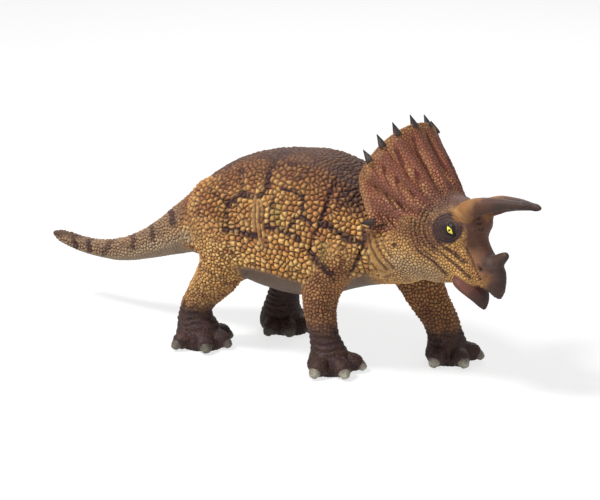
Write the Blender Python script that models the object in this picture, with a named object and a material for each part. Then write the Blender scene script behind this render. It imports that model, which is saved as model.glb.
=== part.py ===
"""A walking triceratops figure, moulded in solid plastic as twelve pieces and glued together.

Lengths are in metres. The body faces +X, its left side is +Y, +Z is up, and the soles stand on z = 0.
The head turns to the animal's right and looks down, so its pieces are drawn in a frame of their own.
A piece that plugs into another is drawn whole, and the other is cut by the same shape grown by the glue gap.
A table named SHARES holds parts of the sizes named beside it, and a curve runs smoothly through its rows.
"""

import math

import bmesh
import bpy
import numpy as np

# Fits
GLUE_GAP = 0.0003
OVERRUN = 0.004

# Trunk and neck
TRUNK_REAR_X = -0.0435
TRUNK_LENGTH = 0.1155
TRUNK_HEIGHT = 0.0855
TRUNK_WIDTH = 0.0550
NECK_SWING = 0.0085
TRUNK_STATIONS = 27
TRUNK_POINTS = 28

# Columns: way along the trunk, top, bottom and widest level, half width, swing to the right
TRUNK_SHARES = (
    (0.000, 0.735, 0.407, 0.580, 0.227, 0.00),
    (0.056, 0.797, 0.402, 0.605, 0.300, 0.00),
    (0.108, 0.849, 0.388, 0.618, 0.364, 0.00),
    (0.169, 0.903, 0.368, 0.624, 0.418, 0.00),
    (0.238, 0.943, 0.348, 0.624, 0.455, 0.00),
    (0.325, 0.976, 0.322, 0.620, 0.487, 0.00),
    (0.429, 0.995, 0.305, 0.616, 0.500, 0.00),
    (0.532, 1.000, 0.312, 0.624, 0.496, 0.00),
    (0.610, 0.976, 0.341, 0.632, 0.482, 0.00),
    (0.688, 0.930, 0.382, 0.640, 0.445, 0.02),
    (0.766, 0.880, 0.415, 0.650, 0.395, 0.08),
    (0.844, 0.853, 0.437, 0.660, 0.340, 0.28),
    (0.922, 0.832, 0.466, 0.660, 0.285, 0.60),
    (1.000, 0.770, 0.545, 0.660, 0.185, 1.00),
)

# Tail
TAIL_LENGTH = 0.0764
TAIL_STATIONS = 22
TAIL_POINTS = 20
TAIL_SWING = 0.0020
TAIL_PEG_RADIUS = 0.0040
TAIL_PEG_LENGTH = 0.0080

# Columns: way along the tail, top and bottom level as shares of the trunk's rear top, half width, swing
TAIL_SHARES = (
    (0.000, 1.000, 0.554, 1.000, 0.00),
    (0.079, 0.911, 0.525, 0.896, 0.00),
    (0.165, 0.823, 0.496, 0.762, 0.00),
    (0.244, 0.742, 0.468, 0.648, 0.00),
    (0.323, 0.671, 0.440, 0.552, 0.05),
    (0.402, 0.612, 0.413, 0.478, 0.15),
    (0.488, 0.563, 0.392, 0.416, 0.30),
    (0.574, 0.527, 0.381, 0.364, 0.50),
    (0.653, 0.505, 0.379, 0.324, 0.70),
    (0.737, 0.497, 0.383, 0.290, 0.90),
    (0.825, 0.503, 0.397, 0.262, 1.00),
    (0.904, 0.516, 0.418, 0.236, 1.00),
    (0.965, 0.518, 0.444, 0.176, 0.95),
    (1.000, 0.505, 0.479, 0.060, 0.90),
)

# Legs
FORELEG_HEIGHT = 0.0660
FORELEG_GIRTH = 0.0250
HINDLEG_HEIGHT = 0.0735
HINDLEG_GIRTH = 0.0290
LEG_STATIONS = 18
LEG_POINTS = 16

# Columns: height, half size fore and aft, half size sideways. The bent left foreleg is the stouter.
FORELEG_SHARES = (
    (0.000, 0.350, 0.330),
    (0.035, 0.385, 0.360),
    (0.080, 0.350, 0.335),
    (0.140, 0.290, 0.285),
    (0.215, 0.246, 0.246),
    (0.305, 0.258, 0.250),
    (0.410, 0.292, 0.270),
    (0.515, 0.342, 0.305),
    (0.635, 0.420, 0.352),
    (0.760, 0.492, 0.380),
    (0.880, 0.440, 0.335),
    (0.965, 0.270, 0.200),
    (1.000, 0.100, 0.080),
)
FORELEG_BENT_SHARES = (
    (0.000, 0.350, 0.330),
    (0.035, 0.385, 0.360),
    (0.080, 0.355, 0.340),
    (0.140, 0.310, 0.300),
    (0.215, 0.290, 0.275),
    (0.305, 0.315, 0.290),
    (0.410, 0.352, 0.312),
    (0.515, 0.402, 0.340),
    (0.635, 0.450, 0.370),
    (0.760, 0.492, 0.380),
    (0.880, 0.440, 0.335),
    (0.965, 0.270, 0.200),
    (1.000, 0.100, 0.080),
)
HINDLEG_SHARES = (
    (0.000, 0.330, 0.300),
    (0.030, 0.362, 0.325),
    (0.070, 0.345, 0.312),
    (0.125, 0.300, 0.280),
    (0.185, 0.248, 0.242),
    (0.245, 0.228, 0.232),
    (0.300, 0.240, 0.244),
    (0.367, 0.292, 0.272),
    (0.449, 0.340, 0.310),
    (0.544, 0.380, 0.340),
    (0.653, 0.478, 0.365),
    (0.775, 0.500, 0.365),
    (0.885, 0.425, 0.305),
    (0.966, 0.260, 0.190),
    (1.000, 0.100, 0.070),
)

# Each leg: place of its foot along the trunk and to its left, the way of its toes, how it runs over the foot.
# Columns of a run: height as a share of the leg's, then the shift forward and to the left in shares of girth.
FORE_FOOT_RIGHT_SHARES = (0.632, -0.309)
FORE_FOOT_LEFT_SHARES = (0.939, 0.327)
HIND_FOOT_RIGHT_SHARES = (0.095, -0.300)
HIND_FOOT_LEFT_SHARES = (0.264, 0.327)
FORE_TOES_DEGREES = (-92.0, -34.0, 24.0)
HIND_TOES_RIGHT_DEGREES = (-112.0, -48.0, 2.0, 56.0)
HIND_TOES_LEFT_DEGREES = (-90.0, -48.0, -2.0, 50.0)
FORE_RUN_RIGHT_SHARES = (
    (0.000, 0.000, 0.000),
    (0.140, -0.040, 0.000),
    (0.215, -0.110, 0.000),
    (0.305, -0.170, 0.000),
    (0.410, -0.200, 0.000),
    (0.515, -0.160, 0.000),
    (0.635, -0.010, -0.010),
    (0.760, 0.150, -0.040),
    (1.000, 0.290, 0.030),
)
FORE_RUN_LEFT_SHARES = (
    (0.000, 0.000, 0.000),
    (0.140, -0.040, 0.000),
    (0.225, -0.140, 0.000),
    (0.295, -0.260, 0.000),
    (0.365, -0.390, 0.000),
    (0.435, -0.510, 0.000),
    (0.515, -0.650, 0.000),
    (0.635, -0.850, 0.000),
    (0.760, -1.020, 0.010),
    (1.000, -1.160, -0.060),
)
HIND_RUN_RIGHT_SHARES = (
    (0.000, 0.010, 0.000),
    (0.070, -0.020, 0.000),
    (0.125, -0.045, 0.000),
    (0.185, -0.085, 0.000),
    (0.245, -0.030, 0.000),
    (0.300, 0.085, 0.000),
    (0.367, 0.225, -0.010),
    (0.449, 0.362, -0.020),
    (0.544, 0.465, -0.040),
    (0.653, 0.440, -0.055),
    (0.775, 0.370, -0.050),
    (1.000, 0.270, 0.050),
)
HIND_RUN_LEFT_SHARES = (
    (0.000, 0.050, 0.000),
    (0.070, 0.000, 0.000),
    (0.140, -0.030, 0.000),
    (0.210, 0.000, 0.000),
    (0.280, 0.060, 0.000),
    (0.367, 0.130, 0.000),
    (0.449, 0.120, 0.000),
    (0.544, 0.040, 0.000),
    (0.653, -0.110, 0.000),
    (0.775, -0.250, 0.000),
    (1.000, -0.390, -0.080),
)

# Toes
TOE_REACH = 0.0134
TOE_RADIUS = 0.0040
TOE_LIFT = 0.0004
TOE_POINTS = 10

# Columns: way out from the foot's middle, height of the toe's middle, radius
TOE_SHARES = (
    (0.28, 1.20, 0.85),
    (0.55, 1.12, 0.98),
    (0.74, 0.92, 0.94),
    (0.88, 0.66, 0.72),
    (0.96, 0.48, 0.48),
    (1.00, 0.38, 0.22),
)

# Head frame: its place ahead of the trunk, to the right of it and up the trunk's height
HEAD_AHEAD = 0.0160
HEAD_ASIDE = 0.0135
HEAD_LEVEL_SHARE = 0.801
HEAD_TURN_DEGREES = (0.9, 25.2, -17.0)

# Skull, drawn in the head frame: +X along the snout, z = 0 at the eyes.
# What the skull carries starts at shares of its length, its width or its depth.
SKULL_LENGTH = 0.0600
SKULL_REAR = 0.0340
SKULL_DEPTH = 0.0330
SKULL_WIDTH = 0.0310
SKULL_STATIONS = 27
SKULL_POINTS = 26
NECK_SEAM_SHARE = 0.175
NECK_PEG_RADIUS = 0.0060
NECK_PEG_LENGTH = 0.0080
NECK_PEG_LEVEL_SHARE = -0.576

# Columns: way along the skull, top, bottom and widest level, half width
SKULL_SHARES = (
    (0.000, -0.280, -0.800, -0.550, 0.220),
    (0.067, -0.160, -0.900, -0.480, 0.360),
    (0.133, -0.030, -0.950, -0.430, 0.450),
    (0.233, 0.085, -0.980, -0.390, 0.485),
    (0.350, 0.165, -1.040, -0.340, 0.450),
    (0.467, 0.218, -0.970, -0.290, 0.394),
    (0.567, 0.225, -0.865, -0.260, 0.325),
    (0.633, 0.130, -0.770, -0.270, 0.250),
    (0.700, 0.000, -0.680, -0.300, 0.205),
    (0.758, -0.080, -0.600, -0.320, 0.190),
    (0.817, -0.118, -0.535, -0.330, 0.180),
    (0.875, -0.128, -0.503, -0.335, 0.158),
    (0.925, -0.148, -0.494, -0.350, 0.132),
    (0.967, -0.212, -0.509, -0.380, 0.097),
    (1.000, -0.333, -0.500, -0.430, 0.035),
)

# Eyes and brows
EYE_PLACE_SHARE = 0.567
EYE_RADIUS = 0.0060
EYE_HEIGHT = 0.0028
EYE_SIDE_SHARE = 0.220
EYE_POINTS = 18
EYE_SHARES = (
    (0.90, -1.60),
    (1.00, 0.00),
    (0.92, 0.42),
    (0.78, 0.62),
    (0.64, 0.50),
    (0.50, 0.62),
    (0.30, 0.84),
    (0.10, 0.93),
)
BROW_RADIUS = 0.0022
BROW_POINTS = 10

# Columns: way along the skull, place outward, level, and the brow's thickness
BROW_SHARES = (
    (0.467, 0.234, 0.100, 0.40),
    (0.507, 0.232, 0.164, 0.85),
    (0.565, 0.215, 0.178, 1.00),
    (0.612, 0.186, 0.140, 0.95),
    (0.640, 0.150, 0.060, 0.70),
    (0.652, 0.120, -0.040, 0.40),
)

# Lower jaw
JAW_LENGTH = 0.0150
JAW_DEPTH = 0.0088
JAW_REAR_SHARE = 0.672
JAW_LEVEL_SHARE = -0.772
JAW_WIDTH = 0.0140
JAW_STATIONS = 10
JAW_POINTS = 14

# Columns: way along the jaw, top and bottom over its lowest level, half width
JAW_SHARES = (
    (0.00, 0.920, 0.260, 0.480),
    (0.20, 0.900, 0.240, 0.490),
    (0.40, 0.830, 0.220, 0.470),
    (0.60, 0.740, 0.190, 0.400),
    (0.76, 0.640, 0.140, 0.310),
    (0.90, 0.440, 0.060, 0.200),
    (1.00, 0.150, 0.000, 0.060),
)

# Frill
FRILL_ROOT_SHARE = 0.345
FRILL_ROOT_WIDTH_SHARE = 0.339
FRILL_ROOT_HEIGHT_SHARE = 0.242
FRILL_ROOT_LEVEL_SHARE = -0.106
FRILL_RIM_RADIUS = 0.0200
FRILL_RIM_LEVEL = -0.0010
FRILL_REACH = 0.0287
FRILL_THICKNESS = 0.0030
FRILL_SAG = 0.0018
FRILL_RIDGE = 0.0005
FRILL_RIDGES = 9
FRILL_END_DEGREES = 130.0
FRILL_STATIONS = 55
FRILL_STEPS = 6

# Columns: angle from the top as a share of the end angle, reach behind the root, radius of the rim
FRILL_SHARES = (
    (0.000, 1.000, 0.970),
    (0.300, 1.005, 0.985),
    (0.600, 1.015, 1.000),
    (0.800, 1.000, 0.995),
    (0.900, 0.860, 1.080),
    (0.960, 0.660, 1.210),
    (1.000, 0.540, 1.290),
)

# Frill spikes. The upper ones stand up from the sheet, the lowest pair lies along it.
SPIKE_LENGTH = 0.0040
SPIKE_RADIUS = 0.0019
SPIKE_ROOT = 0.0016
SPIKE_POINTS = 8
SPIKE_DEGREES = (0.0, 26.0, 48.0, 70.0, 128.0)
SPIKE_STANDING_SHARES = (1.0, 1.0, 1.0, 1.0, 0.0)
SPIKE_SPLAY_SHARE = 0.2
SPIKE_LIFT_SHARE = 0.15
SPIKE_FLATNESS_SHARE = 0.8
SPIKE_SHEET_SHARE = 0.85
SPIKE_SHARES = ((0.00, 1.00), (0.35, 0.72), (0.70, 0.40), (1.00, 0.10))

# Brow horns
HORN_ROOT_SHARES = (0.517, 0.148, 0.048)
HORN_REACH = 0.0264
HORN_RISE = 0.0249
HORN_SPREAD = 0.0016
HORN_TILT = 0.0009
HORN_DROP = 0.0008
HORN_RADIUS = 0.0038
HORN_STATIONS = 14
HORN_POINTS = 12

# Columns: way along the horn, forward, up and outward, radius
HORN_SHARES = (
    (0.00, 0.000, 0.000, 0.00, 0.66),
    (0.10, 0.062, 0.157, 0.50, 0.87),
    (0.27, 0.190, 0.345, 1.00, 0.98),
    (0.41, 0.330, 0.502, 1.00, 0.88),
    (0.56, 0.492, 0.647, 0.80, 0.73),
    (0.71, 0.663, 0.779, 0.50, 0.57),
    (0.86, 0.834, 0.895, 0.20, 0.42),
    (0.97, 0.963, 0.977, 0.00, 0.29),
    (1.00, 1.000, 1.000, 0.00, 0.14),
)

# Nose horn
NOSE_HORN_ROOT_SHARES = (0.853, -0.197)
NOSE_HORN_REACH = 0.0042
NOSE_HORN_RISE = 0.0088
NOSE_HORN_RADIUS = 0.0034
NOSE_HORN_SLIMNESS_SHARE = 0.78
NOSE_HORN_POINTS = 12

# Columns: way up the horn, forward, up, radius
NOSE_HORN_SHARES = (
    (0.00, 0.00, 0.00, 1.00),
    (0.40, 0.30, 0.38, 0.92),
    (0.75, 0.72, 0.78, 0.62),
    (0.93, 0.96, 0.95, 0.40),
    (1.00, 1.00, 1.00, 0.18),
)

# How square a trunk's section is: 1 is an ellipse, less is fuller
FULLNESS_SHARE = 0.88

SKIN_OCHRE = (0.42, 0.25, 0.09)
FRILL_RED = (0.30, 0.13, 0.07)
HORN_GREY = (0.09, 0.075, 0.07)
JAW_BROWN = (0.20, 0.10, 0.07)


def clear_scene():
    """Takes out whatever the scene starts with."""
    for obj in list(bpy.data.objects):
        bpy.data.objects.remove(obj, do_unlink=True)


def painted(name, color, roughness):
    """A painted plastic of one colour."""
    material = bpy.data.materials.new(name)
    material.use_nodes = True
    shader = material.node_tree.nodes["Principled BSDF"]
    shader.inputs["Base Color"].default_value = (*color, 1.0)
    shader.inputs["Roughness"].default_value = roughness
    return material


def through(rows, places):
    """Values at the places, on smooth curves through the rows: column 0 is the place, the rest are values."""
    table = np.array(rows, dtype=float)
    knots = table[:, 0]
    values = table[:, 1:]
    slopes = np.gradient(values, knots, axis=0)
    index = np.clip(np.searchsorted(knots, places, side="right") - 1, 0, len(knots) - 2)
    span = (knots[index + 1] - knots[index])[:, None]
    t = (np.asarray(places) - knots[index])[:, None] / span
    start = (1 + 2 * t) * (1 - t) ** 2 * values[index] + t * (1 - t) ** 2 * span * slopes[index]
    end = t * t * (3 - 2 * t) * values[index + 1] + t * t * (t - 1) * span * slopes[index + 1]
    return start + end


def turns(points):
    """Angles evenly round a section, in radians."""
    return np.arange(points) * math.tau / points


def rounded(value):
    """A sine or cosine, drawn out so that a section is a little fuller than an ellipse."""
    return np.sign(value) * np.abs(value) ** FULLNESS_SHARE


def upright_rings(x, swing, top, bottom, widest, half_width, points):
    """Sections across the X axis, each with its own top, bottom and widest level."""
    angle = turns(points)[None, :]
    lift = rounded(np.sin(angle))
    up = (top - widest)[:, None]
    down = (widest - bottom)[:, None]
    z = widest[:, None] + np.where(lift >= 0, up, down) * lift
    y = swing[:, None] + half_width[:, None] * rounded(np.cos(angle))
    return np.stack([np.broadcast_to(x[:, None], y.shape), y, z], axis=2)


def tube_rings(path, radius, side_axis, flatness, points):
    """Sections square to a path: side_axis points out of the path's plane, flatness narrows that way."""
    ahead = np.gradient(path, axis=0)
    ahead /= np.linalg.norm(ahead, axis=1)[:, None]
    side = side_axis - ahead * (ahead @ side_axis)[:, None]
    side /= np.linalg.norm(side, axis=1)[:, None]
    over = np.cross(ahead, side)
    angle = turns(points)[None, :, None]
    wide = side[:, None, :] * np.cos(angle) * flatness
    return path[:, None, :] + (wide + over[:, None, :] * np.sin(angle)) * radius[:, None, None]


def loft(name, rings, parent=None):
    """A closed body over a row of sections, with a cap of triangles at each end."""
    stations, points = rings.shape[:2]
    base = np.arange(stations - 1)[:, None] * points
    here = np.arange(points)[None, :]
    after = (here + 1) % points
    quads = np.stack([base + here, base + after, base + after + points, base + here + points], axis=2)
    caps = [list(range(points)), list(range((stations - 1) * points, stations * points))]
    mesh = bpy.data.meshes.new(name)
    mesh.from_pydata(rings.reshape(-1, 3).tolist(), [], quads.reshape(-1, 4).tolist() + caps)
    shell = bmesh.new()
    shell.from_mesh(mesh)
    bmesh.ops.triangulate(shell, faces=[face for face in shell.faces if len(face.verts) == points])
    bmesh.ops.recalc_face_normals(shell, faces=shell.faces)
    if shell.calc_volume(signed=True) < 0:
        bmesh.ops.reverse_faces(shell, faces=shell.faces)
    shell.to_mesh(mesh)
    shell.free()
    mesh.shade_smooth()
    mesh.set_sharp_from_angle(angle=math.radians(50.0))
    obj = bpy.data.objects.new(name, mesh)
    bpy.context.scene.collection.objects.link(obj)
    obj.parent = parent
    return obj


def helper(obj):
    """Marks a cutter or a guide, which is no piece of the figure."""
    obj.hide_render = True
    obj.display_type = "WIRE"
    return obj


def block(name, low, high, parent=None):
    """A helper box between two corners."""
    corners = [(low[0], high[0]), (low[1], high[1]), (low[2], high[2])]
    x, y, z = corners
    ring = [(x[0], y[0]), (x[1], y[0]), (x[1], y[1]), (x[0], y[1])]
    rings = np.array([[(a, b, level) for a, b in ring] for level in z])
    return helper(loft(name, rings, parent))


def combine(obj, tool, operation, solver="EXACT"):
    """Adds a Boolean: UNION, DIFFERENCE or INTERSECT."""
    modifier = obj.modifiers.new(operation.lower() + "_" + tool.name, "BOOLEAN")
    modifier.operation = operation
    modifier.solver = solver
    modifier.object = tool


def combine_head(obj, tool, operation):
    """A Boolean on the head and the neck, where the exact solver loses the body."""
    combine(obj, tool, operation, "MANIFOLD")


def grown(obj):
    """The same solid, larger all round by the glue gap, to cut its seat in another piece."""
    twin = bpy.data.objects.new(obj.name + "_grown", obj.data)
    bpy.context.scene.collection.objects.link(twin)
    twin.parent = obj.parent
    swell = twin.modifiers.new("glue_gap", "DISPLACE")
    swell.strength = GLUE_GAP
    swell.mid_level = 0.0
    return helper(twin)


def seat(carrier, plug):
    """Cuts the plug's seat, with the glue gap all round, in the piece that carries it."""
    combine_head(carrier, grown(plug), "DIFFERENCE")


def dress(obj, material):
    """Gives a finished piece its paint."""
    obj.data.materials.append(material)
    return obj


def trunk_rings():
    """The trunk and neck, from the tail seam to inside the skull."""
    places = np.linspace(0.0, 1.0, TRUNK_STATIONS)
    top, bottom, widest, half_width, swing = through(TRUNK_SHARES, places).T
    return upright_rings(
        TRUNK_REAR_X + TRUNK_LENGTH * places,
        -NECK_SWING * swing,
        TRUNK_HEIGHT * top,
        TRUNK_HEIGHT * bottom,
        TRUNK_HEIGHT * widest,
        TRUNK_WIDTH * half_width,
        TRUNK_POINTS,
    )


def tail_rings():
    """The tail, which starts a glue gap behind the trunk at the trunk's own section."""
    places = np.linspace(0.0, 1.0, TAIL_STATIONS)
    rump_top, rump_widest, rump_half_width = (TRUNK_SHARES[0][column] for column in (1, 3, 4))
    top, bottom, half_width, swing = through(TAIL_SHARES, places).T
    level = TRUNK_HEIGHT * rump_top
    rump_bottom = TAIL_SHARES[0][2]
    waist = (rump_widest / rump_top - rump_bottom) / (1 - rump_bottom)
    return upright_rings(
        TRUNK_REAR_X - GLUE_GAP - TAIL_LENGTH * places,
        TAIL_SWING * swing,
        level * top,
        level * bottom,
        level * (bottom + (top - bottom) * waist),
        TRUNK_WIDTH * rump_half_width * half_width,
        TAIL_POINTS,
    )


def leg_rings(height, girth, girth_rows, run_rows, foot):
    """A leg as level sections from the sole up. A section that leans is drawn out by its lean."""
    knots = np.array([row[0] for row in girth_rows])
    places = np.interp(np.linspace(0.0, 1.0, LEG_STATIONS), np.linspace(0.0, 1.0, len(knots)), knots)
    along, across = through(girth_rows, places).T
    ahead, aside = through(run_rows, places).T
    level = height * places
    middle_x = foot[0] + girth * ahead
    middle_y = foot[1] + girth * aside
    lean = np.gradient(middle_x, level)
    half_x = girth * along * np.sqrt(1 + lean * lean)
    angle = turns(LEG_POINTS)[None, :]
    x = middle_x[:, None] + half_x[:, None] * np.cos(angle)
    y = middle_y[:, None] + (girth * across)[:, None] * np.sin(angle)
    return np.stack([x, y, np.broadcast_to(level[:, None], x.shape)], axis=2)


def foot_place(shares):
    """A foot's place on the floor, from its shares of the trunk's length and width."""
    return TRUNK_REAR_X + TRUNK_LENGTH * shares[0], TRUNK_WIDTH * shares[1]


def toe_rings(foot, degrees):
    """A toe that leaves the foot at an angle, flat underneath, a little off the floor."""
    out, level, radius = np.array(TOE_SHARES).T
    way = math.radians(degrees)
    path = np.stack(
        [
            foot[0] + TOE_REACH * out * math.cos(way),
            foot[1] + TOE_REACH * out * math.sin(way),
            TOE_RADIUS * level,
        ],
        axis=1,
    )
    side = np.array([-math.sin(way), math.cos(way), 0.0])
    rings = tube_rings(path, TOE_RADIUS * radius, side, 1.0, TOE_POINTS)
    rings[:, :, 2] = np.maximum(rings[:, :, 2], TOE_LIFT)
    return rings


def leg(name, height, girth, girth_rows, run_rows, foot_shares, toes):
    """A whole leg with its toes, as it is glued into the trunk."""
    foot = foot_place(foot_shares)
    body = loft(name, leg_rings(height, girth, girth_rows, run_rows, foot))
    for number, degrees in enumerate(toes, start=1):
        toe = helper(loft(f"{name}_toe_{number}", toe_rings(foot, degrees)))
        combine(body, toe, "UNION")
    return body


def along_skull(share):
    """The X of a place along the skull, in the head frame."""
    return SKULL_LENGTH * share - SKULL_REAR


def skull_rings():
    """The skull from behind the frill to the beak."""
    places = np.linspace(0.0, 1.0, SKULL_STATIONS)
    top, bottom, widest, half_width = through(SKULL_SHARES, places).T
    return upright_rings(
        along_skull(places),
        np.zeros(SKULL_STATIONS),
        SKULL_DEPTH * top,
        SKULL_DEPTH * bottom,
        SKULL_DEPTH * widest,
        SKULL_WIDTH * half_width,
        SKULL_POINTS,
    )


def eye_rings(side):
    """A wrinkled mound with the eyeball in its middle: rings about the Y axis."""
    out, height = np.array(EYE_SHARES).T
    angle = turns(EYE_POINTS)[None, :]
    x = along_skull(EYE_PLACE_SHARE) + EYE_RADIUS * out[:, None] * np.cos(angle)
    z = EYE_RADIUS * out[:, None] * np.sin(angle)
    y = side * (SKULL_WIDTH * EYE_SIDE_SHARE + EYE_HEIGHT * height)
    return np.stack([x, np.broadcast_to(y[:, None], x.shape), z], axis=2)


def brow_rings(side):
    """The ridge over an eye, from behind it to the bridge of the nose."""
    place, outward, level, thickness = np.array(BROW_SHARES).T
    path = np.stack([along_skull(place), side * SKULL_WIDTH * outward, SKULL_DEPTH * level], axis=1)
    return tube_rings(path, BROW_RADIUS * thickness, np.array([0.0, 1.0, 0.0]), 1.0, BROW_POINTS)


def jaw_rings():
    """The lower beak, thick at the hinge of the mouth and pointed in front."""
    places = np.linspace(0.0, 1.0, JAW_STATIONS)
    top, bottom, half_width = through(JAW_SHARES, places).T
    level = SKULL_DEPTH * JAW_LEVEL_SHARE
    low = level + JAW_DEPTH * bottom
    high = level + JAW_DEPTH * top
    return upright_rings(
        along_skull(JAW_REAR_SHARE) + JAW_LENGTH * places,
        np.zeros(JAW_STATIONS),
        high,
        low,
        (low + high) / 2,
        JAW_WIDTH * half_width,
        JAW_POINTS,
    )


def frill_sheet(angles, steps):
    """The frill's middle surface: a cone round the skull that opens backward, dished between root and rim."""
    angle = angles[:, None]
    way = steps[None, :]
    reach, radius = through(FRILL_SHARES, np.abs(angles) / math.radians(FRILL_END_DEGREES)).T[:, :, None]
    root_y = -SKULL_WIDTH * FRILL_ROOT_WIDTH_SHARE * np.sin(angle)
    root_z = SKULL_DEPTH * (FRILL_ROOT_LEVEL_SHARE + FRILL_ROOT_HEIGHT_SHARE * np.cos(angle))
    rim_y = -FRILL_RIM_RADIUS * radius * np.sin(angle)
    rim_z = FRILL_RIM_LEVEL + FRILL_RIM_RADIUS * radius * np.cos(angle)
    dish = FRILL_SAG * 4 * way * (1 - way)
    x = along_skull(FRILL_ROOT_SHARE) - FRILL_REACH * reach * way - dish
    y = root_y + (rim_y - root_y) * way
    z = root_z + (rim_z - root_z) * way
    return np.stack([x, y, z], axis=2)


def frill_rings():
    """The frill as sections from one end round to the other, with ridges on the face and a thin rim."""
    end = math.radians(FRILL_END_DEGREES)
    angles = np.linspace(-end, end, FRILL_STATIONS)
    steps = np.linspace(0.0, 1.0, FRILL_STEPS)
    sheet = frill_sheet(angles, steps)
    normal = np.cross(np.gradient(sheet, axis=0), np.gradient(sheet, axis=1))
    normal /= np.linalg.norm(normal, axis=2)[:, :, None]
    normal *= np.sign(normal[:, :, :1])
    half = FRILL_THICKNESS / 2 * (1 - steps / 2)[None, :, None]
    ripple = np.cos(FRILL_RIDGES * math.pi * angles / end)[:, None, None]
    ridge = FRILL_RIDGE * ripple * np.sin(math.pi * steps)[None, :, None]
    face = sheet + normal * (half + ridge)
    back = sheet - normal * half
    return np.concatenate([face, back[:, ::-1]], axis=1)


def spike_rings(degrees, standing):
    """A spike on the rim of the frill, along its sheet, or less splayed and lifted where it stands."""
    angle = np.array([math.radians(degrees)])
    inner, outer = frill_sheet(angle, np.array([SPIKE_SHEET_SHARE, 1.0]))[0]
    way = (outer - inner) / np.linalg.norm(outer - inner)
    way = way + standing * np.array([0.0, (SPIKE_SPLAY_SHARE - 1) * way[1], SPIKE_LIFT_SHARE])
    way = way / np.linalg.norm(way)
    along, radius = np.array(SPIKE_SHARES).T
    distance = (SPIKE_LENGTH + SPIKE_ROOT) * along - SPIKE_ROOT
    path = outer + way * distance[:, None]
    side = np.array([1.0, 0.0, 0.0])
    return tube_rings(path, SPIKE_RADIUS * radius, side, SPIKE_FLATNESS_SHARE, SPIKE_POINTS)


def horn_rings(side):
    """A brow horn: it climbs out of the skull, then levels off forward. The right one sits the higher."""
    places = np.linspace(0.0, 1.0, HORN_STATIONS)
    ahead, up, out, radius = through(HORN_SHARES, places).T
    root_place, root_side, root_level = HORN_ROOT_SHARES
    path = np.stack(
        [
            along_skull(root_place) + HORN_REACH * ahead,
            side * (SKULL_WIDTH * root_side + HORN_SPREAD * out),
            SKULL_DEPTH * root_level + HORN_RISE * up - side * (HORN_DROP + HORN_TILT * ahead),
        ],
        axis=1,
    )
    return tube_rings(path, HORN_RADIUS * radius, np.array([0.0, 1.0, 0.0]), 1.0, HORN_POINTS)


def nose_horn_rings():
    """The short blunt horn on the nose."""
    table = np.array(NOSE_HORN_SHARES)
    root_place, root_level = NOSE_HORN_ROOT_SHARES
    path = np.stack(
        [
            along_skull(root_place) + NOSE_HORN_REACH * table[:, 1],
            np.zeros(len(table)),
            SKULL_DEPTH * root_level + NOSE_HORN_RISE * table[:, 2],
        ],
        axis=1,
    )
    side = np.array([0.0, 1.0, 0.0])
    radius = NOSE_HORN_RADIUS * table[:, 3]
    return tube_rings(path, radius, side, NOSE_HORN_SLIMNESS_SHARE, NOSE_HORN_POINTS)


def peg_rings(start, end, level, radius):
    """A round peg along X, at a level over the frame's origin."""
    angle = turns(TAIL_POINTS)[None, :]
    y = radius * np.cos(angle)
    z = level + radius * np.sin(angle)
    return np.stack([np.stack([np.full(y.shape[1], x), y[0], z[0]], axis=1) for x in (start, end)])


def head_frame():
    """The empty that carries all that turns with the head."""
    empty = bpy.data.objects.new("head_frame", None)
    trunk_front = TRUNK_REAR_X + TRUNK_LENGTH
    empty.location = (trunk_front + HEAD_AHEAD, -HEAD_ASIDE, TRUNK_HEIGHT * HEAD_LEVEL_SHARE)
    empty.rotation_euler = [math.radians(turn) for turn in HEAD_TURN_DEGREES]
    bpy.context.scene.collection.objects.link(empty)
    return empty


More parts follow.
